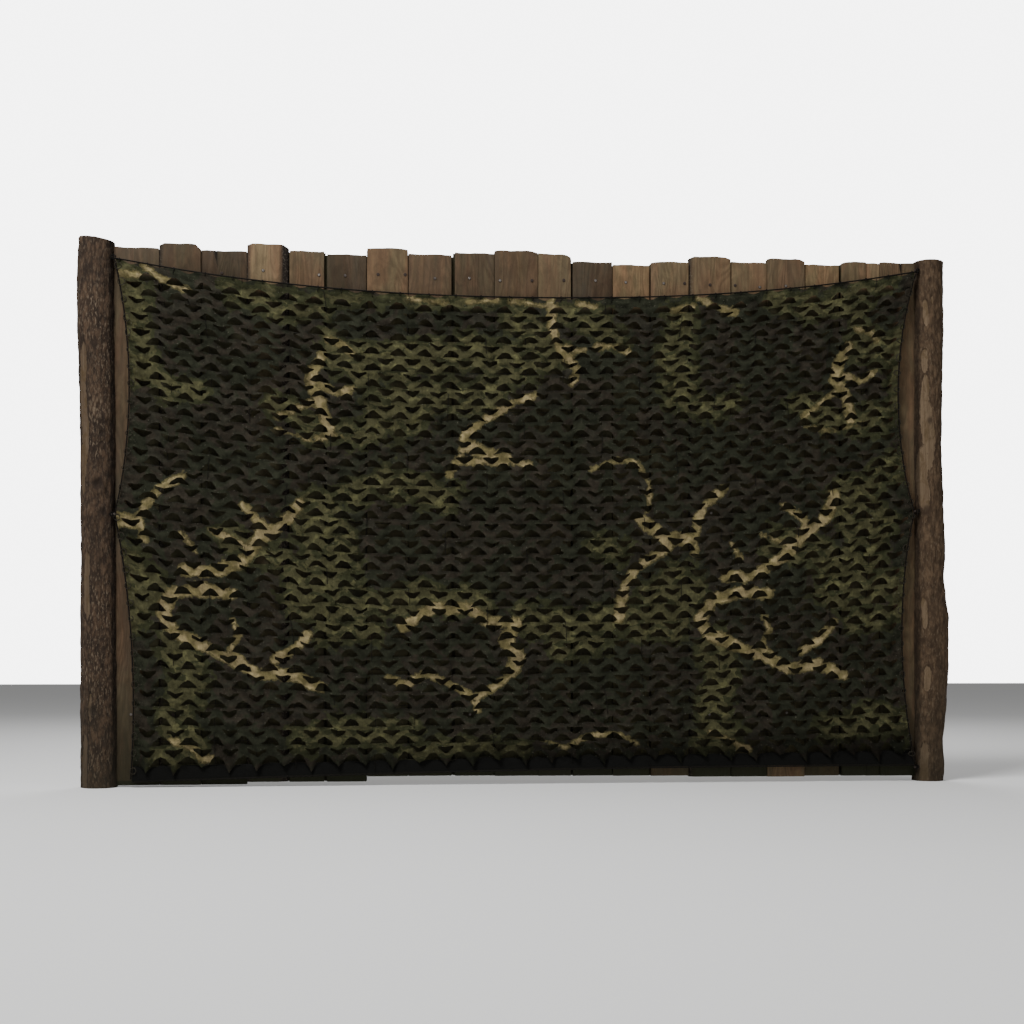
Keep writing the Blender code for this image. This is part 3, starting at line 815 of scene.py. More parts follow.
@dataclass(frozen=True)
class SteelFinish(Finish):
    """Wire nails: dull zinc going to rust."""

    name: str = "rusting_nail"
    zinc: Colour = (0.20, 0.18, 0.16)
    rust: Colour = (0.022, 0.012, 0.008)

    def wire(self, bench: Bench, shader: Any, effects: SharedEffects) -> None:
        """Wire the zinc and the rust."""
        place = bench.object_place()
        weather = bench.group(effects.weather, {"Place": place, "Seed": 1.0})
        pits = bench.steps(bench.noise(place, 700.0, 4.0, 0.7), 0.42, 0.60)
        patch = bench.steps(bench.noise(place, 6.5, 1.0), 0.52, 0.42)
        rusty = bench.math("MAXIMUM", patch, bench.times(pits, 0.7))
        rusty = bench.math("MAXIMUM", rusty, weather.outputs["Damp"])
        rusty = bench.math("MAXIMUM", rusty, bench.attribute("rim"))
        bump = bench.bump(pits, 0.5, 0.0003)
        bench.fill(shader, {
            "Base Color": bench.mix(rusty, self.zinc, self.rust),
            "Metallic": bench.steps(rusty, 0.0, 1.0, 0.85, 0.15),
            "Roughness": bench.steps(rusty, 0.0, 1.0, 0.42, 0.85), "Normal": bump,
        })


# ============================================================================= fence
class Ring(NamedTuple):
    """One level of a trunk."""

    height: float
    radius: float
    lean: float


class Peel(NamedTuple):
    """A pointed patch without bark; its angle is from the front towards +X."""

    degrees: float
    height: float
    half_width: float
    half_height: float


class Knot(NamedTuple):
    """A branch stub or swelling on a trunk."""

    degrees: float
    height: float
    size: float
    proud: float
    pale: bool = False  # a burl, paler than the bark round it


LET_IN = 0.047  # from a log's middle to the edge of the board let into its side
UPRIGHT = 0.9  # how much of a direction is along an axis that it counts as parallel to


@dataclass
class LogPost:
    """A round log with its bark, bare patches and knots, let out for the rails."""

    node: str
    neighbour: str
    x: float
    top: float
    top_slope: float
    phase: float
    rings: tuple[Ring, ...]
    peels: tuple[Peel, ...]
    knots: tuple[Knot, ...]
    shade_from: float  # degrees from the front to where the cloth's side shades it
    sides: int = 96
    bark_rough: float = 0.0030
    lobe: float = 0.012
    bare_sunk: float = 0.0022
    housing: float = 0.0006
    end_insets: tuple[float, ...] = (0.06, 0.25, 0.30, 0.25)
    long_cuts: int = 17  # cuts along the log, made twice
    sawn_inside: float = 0.97  # share of the radius that the sawn end takes
    rim_drop: float = 0.004  # how far the end's rim is worn down
    crack_depth: float = 0.003
    shade_blend: float = 8.0  # degrees over which the shade comes on
    shade_end: float = 150.0  # degrees from the front where it stops

    def build(self, rails: Sequence[str]) -> Piece:
        """Model the log.

        Args:
            rails: Nodes of the rails that are let into its back.

        Returns:
            The log.
        """
        Workbench.clear()
        bpy.ops.mesh.primitive_cylinder_add(
            vertices=self.sides, radius=1.0, depth=self.top,
            location=(0.0, 0.0, self.top / 2), end_fill_type="NGON",
        )
        obj = bpy.context.object
        obj.name = obj.data.name = f"{self.node}_log"
        bpy.ops.object.transform_apply(location=True)
        for _ in range(2):
            Workbench.pick(obj, "EDGE", lambda middle, way: abs(way.z) > UPRIGHT)
            bpy.ops.mesh.subdivide(number_cuts=self.long_cuts)
        for inset in self.end_insets:
            Workbench.pick(
                obj, "FACE",
                lambda middle, way: abs(way.z) > UPRIGHT and middle.xy.length < 0.01,
            )
            bpy.ops.mesh.inset(thickness=inset)
        Workbench.clear()
        self._shape(obj)
        self._let_in(obj, rails)
        Workbench.smooth(obj, 50.0)
        return obj

    def _level(self, height: Array) -> tuple[Array, Array]:
        """Radius and lean at each height, read smoothly between the rings."""
        radius = np.full(height.shape, self.rings[-1].radius)
        lean = np.full(height.shape, self.rings[-1].lean)
        for low, high in reversed(list(zip(self.rings, self.rings[1:]))):
            share = np.clip((height - low.height) / (high.height - low.height), 0, 1)
            share = share * share * (3 - 2 * share)
            here = height <= high.height
            radius = np.where(here, low.radius + (high.radius - low.radius) * share, radius)
            lean = np.where(here, low.lean + (high.lean - low.lean) * share, lean)
        return radius, lean

    def _shape(self, obj: Piece) -> None:
        """Move the plain cylinder's vertices out to the log's own skin."""
        places = Workbench.read(obj)
        reach = np.hypot(places[:, 0], places[:, 1])
        angle = np.arctan2(places[:, 1], places[:, 0])
        height = places[:, 2]
        radius, lean = self._level(height)
        lobes = np.sin(3 * angle + self.phase + 1.6 * height)
        lobes += 0.7 * np.sin(5 * angle - 2 * self.phase - 2.3 * height)
        skin = radius * (1 + self.lobe * lobes)
        bare = self._bare(angle, height, radius)
        knot, burl, swell = self._knots(angle, height, radius)
        rough = np.array([
            self._bark(a, z) for a, z in zip(angle.tolist(), height.tolist())
        ])
        rough *= 1 - 0.85 * np.clip(bare * 1.6, 0, 1)
        skin += self.bark_rough * rough - self.bare_sunk * np.clip(bare * 1.4, 0, 1)
        skin += swell
        side = skin * reach
        ends = reach < self.sawn_inside
        at_top = (height > self.top - TINY).astype(float)
        places[:, 0] = self.x + lean + side * np.cos(angle)
        places[:, 1] = side * np.sin(angle)
        cracks = np.abs(np.sin(angle * 2.5 + self.phase)) < 0.10
        slant = self.top_slope * side * np.cos(angle)
        slant -= self.rim_drop * np.clip(reach - 0.93, 0, 1) / 0.07
        slant -= self.crack_depth * (cracks & (reach < 0.9) & (reach > 0.1))
        places[:, 2] = np.clip(height + at_top * slant, 0.0, None)
        Workbench.write(obj, places)
        turn = np.degrees(from_front(angle))
        past = (turn - self.shade_from) * math.copysign(1.0, self.shade_from)
        shaded = np.clip(past / self.shade_blend, 0, 1) * (np.abs(turn) < self.shade_end)
        Workbench.mark(
            obj, bare=bare, knot=knot, burl=burl, shaded=shaded, sawn=ends, ring=side
        )

    def _bark(self, angle: float, height: float) -> float:
        """Ridges and plates of the bark, about -1 to 1."""
        spot = Vector((math.cos(angle) * 3.2, math.sin(angle) * 3.2, height * 14 + self.phase))
        ridges = noise.fractal(spot * 1.4, 1.0, 2.0, 3)
        plates = noise.noise(Vector((spot.x * 4, spot.y * 4, spot.z * 2.2)))
        return 0.75 * ridges + 0.55 * plates

    def _bare(self, angle: Array, height: Array, radius: Array) -> Array:
        """How bare of bark each place is, from 0 to 1."""
        bare = np.zeros(angle.shape)
        for row in self.peels:
            along = np.abs(height - row.height) / row.half_height
            turn = from_front(angle, row.degrees)
            wander = 0.2 * np.sin(height * 21 + row.height * 9)
            across = np.abs(turn * radius / row.half_width + wander)
            share = 1 - np.hypot(across, along ** 2)
            bare = np.maximum(bare, np.clip(share * 2.2, 0, 1))
        return bare

    def _knots(self, angle: Array, height: Array, radius: Array) -> tuple[Array, ...]:
        """Where knots and pale burls are, from 0 to 1, and how far they swell out."""
        dark = np.zeros(angle.shape)
        pale = np.zeros(angle.shape)
        swell = np.zeros(angle.shape)
        for row in self.knots:
            turn = from_front(angle, row.degrees)
            away = np.hypot(turn * radius, (height - row.height) * 0.8) / row.size
            kind = pale if row.pale else dark
            kind[:] = np.maximum(kind, np.exp(-((away / 0.8) ** 4)))
            ring = np.exp(-(((away - 0.9) / 0.45) ** 2)) - 0.6 * np.exp(-((away / 0.5) ** 2))
            swell += row.proud * ring
        return dark, pale, swell

    def _let_in(self, obj: Piece, rails: Sequence[str]) -> None:
        """Cut the pockets in the log's back for the rails, and a groove for a board."""
        blocks = []
        side = math.copysign(1.0, self.x)
        for rail in rails:
            low, high = box_of(rail)
            outer = (high.x if side > 0 else low.x) + side * self.housing
            inner = self.x - side * 0.2
            low = Vector((min(outer, inner), low.y - self.housing, low.z - self.housing))
            high = Vector((max(outer, inner), 0.2, high.z + self.housing))
            blocks.append(Workbench.box("pocket", low, high))
        low, high = box_of(self.neighbour)
        reach = [side * (abs(self.x) - LET_IN - self.housing), self.x - side * 0.2]
        low = Vector((min(reach), low.y - 0.0012, -0.1))
        high = Vector((max(reach), high.y + 0.0008, high.z + 0.001))
        blocks.append(Workbench.box("groove", low, high))
        cutter = Workbench.join("pockets", blocks)
        Workbench.apply(
            obj, "BOOLEAN", operation="DIFFERENCE", solver="EXACT", object=cutter,
            use_self=True,
        )
        bpy.data.objects.remove(cutter, do_unlink=True)


LEFT_POST = LogPost(
    "post_left", "board_a", -1.4520, 1.850, -0.14, 0.4,
    rings=(
        Ring(0.00, 0.0612, 0.0030), Ring(0.16, 0.0612, 0.0030),
        Ring(0.36, 0.0608, 0.0020), Ring(0.56, 0.0600, 0.0010),
        Ring(0.74, 0.0590, 0.0015), Ring(0.82, 0.0578, 0.0010),
        Ring(0.92, 0.0590, 0.0000), Ring(1.10, 0.0590, 0.0000),
        Ring(1.28, 0.0592, -0.0010), Ring(1.44, 0.0605, -0.0040),
        Ring(1.56, 0.0622, -0.0075), Ring(1.72, 0.0622, -0.0075),
        Ring(1.86, 0.0600, -0.0050),
    ),
    peels=(
        Peel(-42, 1.255, 0.024, 0.28), Peel(-50, 1.06, 0.016, 0.09),
        Peel(-30, 0.675, 0.018, 0.13), Peel(-42, 0.06, 0.022, 0.14),
        Peel(-16, 0.27, 0.008, 0.06), Peel(150, 0.80, 0.020, 0.35),
        Peel(110, 1.50, 0.014, 0.18), Peel(-160, 0.35, 0.016, 0.22),
    ),
    knots=(
        Knot(10, 1.275, 0.034, 0.0022, True), Knot(22, 1.19, 0.016, 0.0030),
        Knot(10, 1.02, 0.022, 0.0040), Knot(24, 0.93, 0.016, 0.0025),
        Knot(-10, 0.26, 0.018, 0.0030), Knot(160, 1.20, 0.018, 0.0030),
        Knot(-120, 0.62, 0.016, 0.0030),
    ),
    shade_from=48.0,
)
RIGHT_POST = LogPost(
    "post_right", "board_u", 1.4585, 1.861, 0.00, 2.1,
    rings=(
        Ring(0.00, 0.0540, 0.0000), Ring(0.06, 0.0565, 0.0015),
        Ring(0.13, 0.0530, -0.0005), Ring(0.28, 0.0600, 0.0060),
        Ring(0.42, 0.0640, 0.0095), Ring(0.58, 0.0640, 0.0095),
        Ring(0.67, 0.0590, 0.0045), Ring(0.73, 0.0550, 0.0010),
        Ring(0.81, 0.0580, 0.0040), Ring(1.00, 0.0550, 0.0005),
        Ring(1.20, 0.0515, -0.0030), Ring(1.44, 0.0530, -0.0015),
        Ring(1.62, 0.0545, 0.0010), Ring(1.87, 0.0540, 0.0005),
    ),
    peels=(
        Peel(-30, 1.670, 0.014, 0.055), Peel(-3, 1.715, 0.006, 0.018),
        Peel(-29, 1.497, 0.018, 0.050), Peel(-32, 1.365, 0.022, 0.10),
        Peel(-20, 1.24, 0.034, 0.15), Peel(-38, 1.08, 0.032, 0.14),
        Peel(-40, 0.598, 0.015, 0.065),
        Peel(-31, 0.366, 0.017, 0.054), Peel(-8, 0.41, 0.005, 0.014),
        Peel(-31, 0.06, 0.020, 0.09), Peel(140, 1.00, 0.024, 0.40),
        Peel(-120, 1.45, 0.014, 0.20), Peel(170, 0.30, 0.020, 0.20),
    ),
    knots=(
        Knot(-37, 1.812, 0.010, 0.0012), Knot(-11, 1.785, 0.010, 0.0016),
        Knot(-43, 0.500, 0.013, 0.0028), Knot(-15, 0.480, 0.009, 0.0015),
        Knot(-24, 0.965, 0.020, 0.0020), Knot(30, 0.72, 0.012, 0.0025),
        Knot(-8, 1.285, 0.013, 0.0010), Knot(150, 1.52, 0.015, 0.0030),
    ),
    shade_from=-47.0,
)


class Marks(NamedTuple):
    """What sets one board apart, with lengths in metres."""

    tone: BoardTone
    clip_left: float = 0.0  # how far a knocked-off top corner is down
    clip_right: float = 0.0
    wane_left: float = 0.0  # how wide the log's own edge shows
    wane_right: float = 0.0
    split: float = 0.0  # how far a drying split runs down from the top
    light: float = 1.0  # how much paler or darker than its tone
    moss: float = 0.92  # how far its foot has gone green and black: moss, and painted shade below the cloth's hem


BOARDS = {
    "board_a": Marks(BoardTone.DULL, light=0.92),
    "board_b": Marks(BoardTone.DULL, 0.008, 0.018, 0.010, light=0.74),
    "board_c": Marks(BoardTone.DARK, split=0.03, light=0.73),
    "board_d": Marks(BoardTone.BRIGHT, 0.004, 0.008, 0.012, 0.022, light=0.83),
    "board_e": Marks(BoardTone.FAIR, light=0.78),
    "board_f": Marks(BoardTone.DARK, light=0.76),
    "board_g": Marks(BoardTone.FAIR, 0.004, 0.003, light=0.90),
    "board_h": Marks(BoardTone.PLAIN, light=0.84),
    "board_i": Marks(BoardTone.DULL, light=0.83),
    "board_j": Marks(BoardTone.PLAIN, 0.004, 0.006, light=0.77),
    "board_k": Marks(BoardTone.FAIR, 0.0, 0.012, light=0.97),
    "board_l": Marks(BoardTone.DARK, light=0.82),
    "board_m": Marks(BoardTone.PALE),
    "board_n": Marks(BoardTone.FAIR, 0.006, light=1.08, moss=0.50),
    "board_o": Marks(BoardTone.FAIR, 0.006, 0.006, 0.016, light=0.98),
    "board_p": Marks(BoardTone.FAIR, light=1.04),
    "board_q": Marks(BoardTone.PLAIN, 0.003, 0.010, light=1.10, moss=0.15),
    "board_r": Marks(BoardTone.PALE, moss=0.60),
    "board_s": Marks(BoardTone.FAIR, 0.005, light=0.96),
    "board_t": Marks(BoardTone.BRIGHT),
    "board_u": Marks(BoardTone.PLAIN, split=0.03),
}
RAILS = ("rail_top", "rail_middle", "rail_bottom")


@dataclass
class Timber:
    """A sawn length of wood over its node: subdivided, a little uneven, edges worn."""

    node: str
    marks: Marks
    seed: float
    lengthways: int = 2  # the axis that it runs along
    steps_long: int = 26
    steps_wide: int = 7
    uneven: float = 0.0011
    worn: float = 0.0017
    sides: tuple[float, float] = (0.0, 0.0)  # how far its rebated back reaches out
    ends: tuple[float, float] = (0.0, 0.0)  # how far the whole side is moved out
    lip: float = 0.004
    clip_width: float = 0.021
    split_half: float = 0.0011
    saw_loss: float = 0.0016  # how far the sawn top is down on the whole
    skin: float = 0.003  # how deep the front counts as the face that the cloth covers

    def build(self, hang: "Hang") -> Piece:
        """Model the board or rail.

        Args:
            hang: How the cloth in front hangs.

        Returns:
            The piece, with its bark, its painted gap shade and its cover marked on it.
        """
        low, high = box_of(self.node)
        low.x -= self.ends[0]
        high.x += self.ends[1]
        obj = Workbench.box(f"{self.node}_worn", low, high)
        long_axis = self.lengthways
        wide_axis = 0 if long_axis == 2 else 2
        for axis, cuts in ((long_axis, self.steps_long), (wide_axis, self.steps_wide)):
            Workbench.pick(obj, "EDGE", lambda middle, way: abs(way[axis]) > UPRIGHT)
            bpy.ops.mesh.subdivide(number_cuts=cuts)
        Workbench.clear()
        if long_axis == 2:
            self._step(obj, low, high)
        places = Workbench.read(obj)
        at_side = (places[:, 0] < low.x + TINY) | (places[:, 0] > high.x - TINY)
        # painted shade on the side faces down in the gaps between boards
        grime = at_side & (places[:, 1] > low.y + self.skin)
        faces_cloth = (places[:, 1] < low.y + self.skin) & (long_axis == 2)
        cover = np.where(faces_cloth, hang.cover_depth(places), -COVER_REACH)
        Workbench.mark(obj, grime=grime, cover_depth=cover)
        wane = np.zeros(len(places))
        if long_axis == 2:
            self._clip(places, low, high)
            wane = self._wane(places, low, high)
        self._warp(places, low, high, long_axis)
        Workbench.write(obj, places)
        Workbench.mark(
            obj, wane=wane, piece_seed=self.seed, piece_light=self.marks.light,
            piece_moss=self.marks.moss, above_hem=hang.above_hem(places),
        )
        if self.marks.split:
            self._split(obj, low, high)
        Workbench.apply(
            obj, "BEVEL", width=self.worn, segments=2, limit_method="ANGLE",
            angle_limit=math.radians(50.0),
        )
        self._rebate(obj, high)
        Workbench.smooth(obj, 38.0)
        return obj

    def _step(self, obj: Piece, low: Vector, high: Vector) -> None:
        """Add the line along each side that a rebate's lip starts from."""
        Workbench.pick(obj, "EDGE", lambda middle, way: abs(way.y) > UPRIGHT)
        bpy.ops.mesh.subdivide(number_cuts=1)
        Workbench.clear()
        places = Workbench.read(obj)
        between = (places[:, 1] > low.y + TINY) & (places[:, 1] < high.y - TINY)
        places[:, 1] = np.where(between, high.y - self.lip, places[:, 1])
        Workbench.write(obj, places)

    def _rebate(self, obj: Piece, high: Vector) -> None:
        """Leave a thin lip along the back that closes the gap to the next board."""
        for way, reach in zip((-1, 1), self.sides):
            if reach > 0:
                Workbench.pick(
                    obj, "FACE",
                    lambda middle, normal: normal.x * way > 0.97
                    and middle.y > high.y - self.lip,
                )
                bpy.ops.mesh.extrude_region_move(
                    TRANSFORM_OT_translate={"value": (way * reach, 0.0, 0.0)}
                )
        Workbench.clear()

    def _clip(self, places: Array, low: Vector, high: Vector) -> None:
        """Lower the ends of the top edge where the corners are knocked off."""
        top = places[:, 2] > high.z - TINY
        for corner, clip in ((low.x, self.marks.clip_left), (high.x, self.marks.clip_right)):
            near = np.clip(1 - np.abs(places[:, 0] - corner) / self.clip_width, 0, 1)
            places[:, 2] -= top * near * clip

    def _wane(self, places: Array, low: Vector, high: Vector) -> Array:
        """Round the front off where the log's own edge shows.

        Args:
            places: The vertices, moved in place.
            low: The board's lowest corner.
            high: Its highest corner.

        Returns:
            How much of each place is bark.
        """
        bark = np.zeros(len(places))
        front = places[:, 1] < low.y + TINY
        depth = high.y - low.y
        for corner, wane in ((low.x, self.marks.wane_left), (high.x, self.marks.wane_right)):
            if not wane:
                continue
            away = np.abs(places[:, 0] - corner)
            share = np.clip(1 - away / (wane * 1.25), 0, 1)
            ragged = 0.85 + 0.15 * np.sin(places[:, 2] * 9 + self.seed)
            places[:, 1] += front * share * min(wane, depth * 0.8) * ragged
            bark = np.maximum(bark, (away < wane * 1.05).astype(float))
        return bark

    def _warp(self, places: Array, low: Vector, high: Vector, axis: int) -> None:
        """Give the sides a sawn unevenness that fades out at the back or the ends."""
        if axis == 2:
            across = 0
            share = np.clip((high.y - places[:, 1]) / (high.y - low.y), 0, 1)
        else:
            across = 2
            share = np.clip((np.abs(high.x) - np.abs(places[:, 0])) / 0.2, 0, 1)
        run, cross = places[:, axis], places[:, across]
        wave = np.sin(run * 7.3 + self.seed * 2.1) + 0.6 * np.sin(run * 19 + self.seed)
        ripple = np.sin(run * 43 + cross * 31 + self.seed * 3)
        places[:, across] += self.uneven * 0.45 * wave * share * 0.5
        face = places[:, 1] < low.y + TINY
        places[:, 1] += face * self.uneven * share * (0.5 + 0.3 * wave + 0.3 * ripple)
        if axis == 2:
            top = run > high.z - 0.03
            saw = np.sin(cross * 61 + self.seed * 5) + 0.5 * np.sin(cross * 171)
            places[:, 2] += top * self.uneven * saw - top * self.saw_loss

    def _split(self, obj: Piece, low: Vector, high: Vector) -> None:
        """Cut a narrow drying split down from the top."""
        width = high.x - low.x
        centre = low.x + width * (0.3 + 0.4 * abs(math.sin(self.seed * 7)))
        back = low.y + 0.6 * (high.y - low.y)
        wedge = Workbench.box(
            "wedge",
            Vector((centre - self.split_half, low.y - 0.01, high.z - self.marks.split)),
            Vector((centre + self.split_half, back, high.z + 0.02)),
        )
        Workbench.pick(wedge, "FACE", lambda middle, way: way.z < -UPRIGHT)
        bpy.ops.transform.resize(value=(0.05, 1.0, 1.0))
        Workbench.clear()
        Workbench.apply(
            obj, "BOOLEAN", operation="DIFFERENCE", solver="EXACT", object=wedge
        )
        bpy.data.objects.remove(wedge, do_unlink=True)


class NailSpot(NamedTuple):
    """A nail head on a board, by its place across the fence."""

    board: str
    x: float
    rise: float  # above the rail's middle


BOARD_NAILS = (
    NailSpot("board_a", -1.345, 0.006), NailSpot("board_b", -1.20, 0.004),
    NailSpot("board_c", -1.04, -0.004), NailSpot("board_d", -0.90, 0.006),
    NailSpot("board_e", -0.711, -0.002), NailSpot("board_f", -0.622, -0.001),
    NailSpot("board_g", -0.509, 0.004), NailSpot("board_g", -0.416, 0.006),
    NailSpot("board_h", -0.313, -0.003), NailSpot("board_i", -0.193, 0.002),
    NailSpot("board_j", -0.087, -0.005), NailSpot("board_j", 0.025, -0.002),
    NailSpot("board_k", 0.137, 0.003), NailSpot("board_l", 0.250, 0.006),
    NailSpot("board_m", 0.357, 0.002), NailSpot("board_n", 0.492, 0.002),
    NailSpot("board_n", 0.567, 0.004), NailSpot("board_o", 0.657, 0.000),
    NailSpot("board_p", 0.749, 0.002), NailSpot("board_p", 0.838, -0.002),
    NailSpot("board_q", 0.932, 0.004), NailSpot("board_r", 1.06, -0.003),
    NailSpot("board_s", 1.17, 0.004), NailSpot("board_t", 1.245, 0.002),
    NailSpot("board_u", 1.33, -0.004),
)


@dataclass
class Fence:
    """The frame behind the cloth: two logs, boards, rails and the boards' nails."""

    hang: "Hang"
    left: LogPost = field(default_factory=lambda: LEFT_POST)
    right: LogPost = field(default_factory=lambda: RIGHT_POST)
    head_radius: float = 0.0054
    head_height: float = 0.0011
    head_sides: int = 12
    head_stray: float = 0.004  # how far the lower rows' nails stray from the top row's
    seed_step: float = 0.618  # from one board's grain to the next one's
    lap: float = 0.0002  # how far two boards' lips meet over each other

    def build(self, effects: SharedEffects) -> None:
        """Model and dress every piece of the frame."""
        self._posts(effects)
        self._boards(effects)
        self._rails(effects)
        self._nails(effects)

    def _posts(self, effects: SharedEffects) -> None:
        """The two logs, each with its own bark."""
        brown = BarkFinish(
            "brown_bark", (0.018, 0.013, 0.010), (0.072, 0.046, 0.029),
            (0.140, 0.106, 0.072), (0.104, 0.075, 0.047), (0.072, 0.048, 0.031), 0.85,
        )
        red = BarkFinish(
            "reddish_bark", (0.034, 0.022, 0.014), (0.098, 0.064, 0.038),
            (0.136, 0.100, 0.064), (0.138, 0.098, 0.060), (0.096, 0.065, 0.039), 0.6,
        )
        for post, finish in ((self.left, brown), (self.right, red)):
            finish_piece(
                post.build(RAILS), finish.build(effects), [post.node]
            )

    def _boards(self, effects: SharedEffects) -> None:
        """Every board with its own tone, seed, clips and splits."""
        tones = {
            tone: TimberFinish(f"board_{tone.name.lower()}", *tone.value).build(effects)
            for tone in BoardTone
        }
        names = list(BOARDS)
        boxes = [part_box(node) for node in names]
        gaps = [after[0][0] - before[1][0] for before, after in zip(boxes, boxes[1:])]
        lips = [0.0, *(gap / 2 + self.lap for gap in gaps), 0.0]
        into_left = boxes[0][0][0] - (self.left.x + LET_IN)
        into_right = self.right.x - LET_IN - boxes[-1][1][0]
        for number, (node, marks) in enumerate(BOARDS.items()):
            first, last = number == 0, number == len(names) - 1
            board = Timber(
                node, marks, seed=1.0 + number * self.seed_step,
                sides=(lips[number], lips[number + 1]),
                ends=(into_left if first else 0.0, into_right if last else 0.0),
            ).build(self.hang)
            finish_piece(board, tones[marks.tone], [node])

    def _rails(self, effects: SharedEffects) -> None:
        """The rails that the boards are nailed to."""
        finish = TimberFinish(
            "rail_wood", (0.105, 0.070, 0.042), (0.055, 0.035, 0.020), 0.35
        ).build(effects)
        for number, node in enumerate(RAILS):
            rail = Timber(
                node, Marks(BoardTone.PLAIN), seed=21.0 + number, lengthways=0,
                steps_long=60, steps_wide=3,
            ).build(self.hang)
            finish_piece(rail, finish, [node])

    def _nails(self, effects: SharedEffects) -> None:
        """The boards' nail heads, modelled once and copied."""
        Workbench.clear()
        bpy.ops.mesh.primitive_cylinder_add(
            vertices=self.head_sides, radius=self.head_radius,
            depth=self.head_height * 2,
        )
        head = bpy.context.object
        Workbench.pick(head, "EDGE", lambda middle, way: middle.z > 0 and abs(way.z) < 0.1)
        bpy.ops.mesh.bevel(offset=self.head_height * 0.5, segments=2)
        Workbench.pick(head, "FACE", lambda middle, way: way.z > 0.99)
        bpy.ops.mesh.inset(thickness=self.head_radius * 0.3)
        bpy.ops.transform.translate(value=(0.0, 0.0, self.head_height * 0.25))
        Workbench.clear()
        away = np.hypot(*Workbench.read(head)[:, :2].T)
        Workbench.mark(head, rim=away > self.head_radius * 0.75)
        tilt = Matrix.Rotation(math.pi / 2, 4, "X")
        heads = []
        for rail in RAILS:
            low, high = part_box(rail)
            level = (low[2] + high[2]) / 2
            for number, spot in enumerate(BOARD_NAILS):
                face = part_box(spot.board)[0][1]
                stray = 0.0 if rail == RAILS[0] else self.head_stray
                shift = stray * math.sin(number * 5.1 + level * 3)
                copy = head.copy()
                copy.data = head.data.copy()
                copy.data.transform(Matrix.Translation(
                    (spot.x + shift, face, level + spot.rise)
                ) @ tilt)
                bpy.context.scene.collection.objects.link(copy)
                heads.append(copy)
        bpy.data.objects.remove(head, do_unlink=True)
        nails = Workbench.join("board_nails", heads)
        Workbench.smooth(nails, 40.0)
        finish_piece(nails, SteelFinish("board_nail").build(effects))


# ============================================================================= cloth
class Span(NamedTuple):
    """A side edge of the cloth between two ties."""

    upper: tuple[float, float]
    lower: tuple[float, float]
    bow: float


class Fold(NamedTuple):
    """A soft ridge, or trough where it is negative, from one place to another."""

    start: tuple[float, float]
    end: tuple[float, float]
    width: float
    proud: float


TOP_LEFT, TOP_RIGHT = (-1.388, 1.779), (1.396, 1.812)
MIDDLE_LEFT, MIDDLE_RIGHT = (-1.388, 0.921), (1.391, 0.962)
BOTTOM_LEFT, BOTTOM_RIGHT = (-1.337, 0.022), (1.396, 0.060)
FOLDS = (
    Fold((-1.36, 1.76), (-0.62, 1.28), 0.070, 0.012),
    Fold((1.37, 1.79), (0.66, 1.30), 0.075, 0.012),
    Fold((-1.37, 0.93), (-0.55, 1.08), 0.060, 0.011),
    Fold((-1.37, 0.90), (-0.70, 0.58), 0.060, 0.009),
    Fold((1.37, 0.96), (0.60, 1.12), 0.065, 0.010),
    Fold((1.37, 0.94), (0.72, 0.62), 0.060, 0.010),
    Fold((-0.42, 1.60), (-0.30, 0.70), 0.090, -0.006),
    Fold((0.24, 1.62), (0.34, 0.62), 0.110, 0.008),
    Fold((-0.95, 0.52), (-0.90, 0.04), 0.080, 0.010),
    Fold((-0.10, 0.50), (-0.16, 0.05), 0.090, 0.011),
    Fold((0.70, 0.46), (0.76, 0.07), 0.080, 0.010),
    Fold((0.28, 0.40), (0.22, 0.07), 0.070, -0.006),
    Fold((1.36, 0.08), (0.86, 0.34), 0.060, 0.009),
)


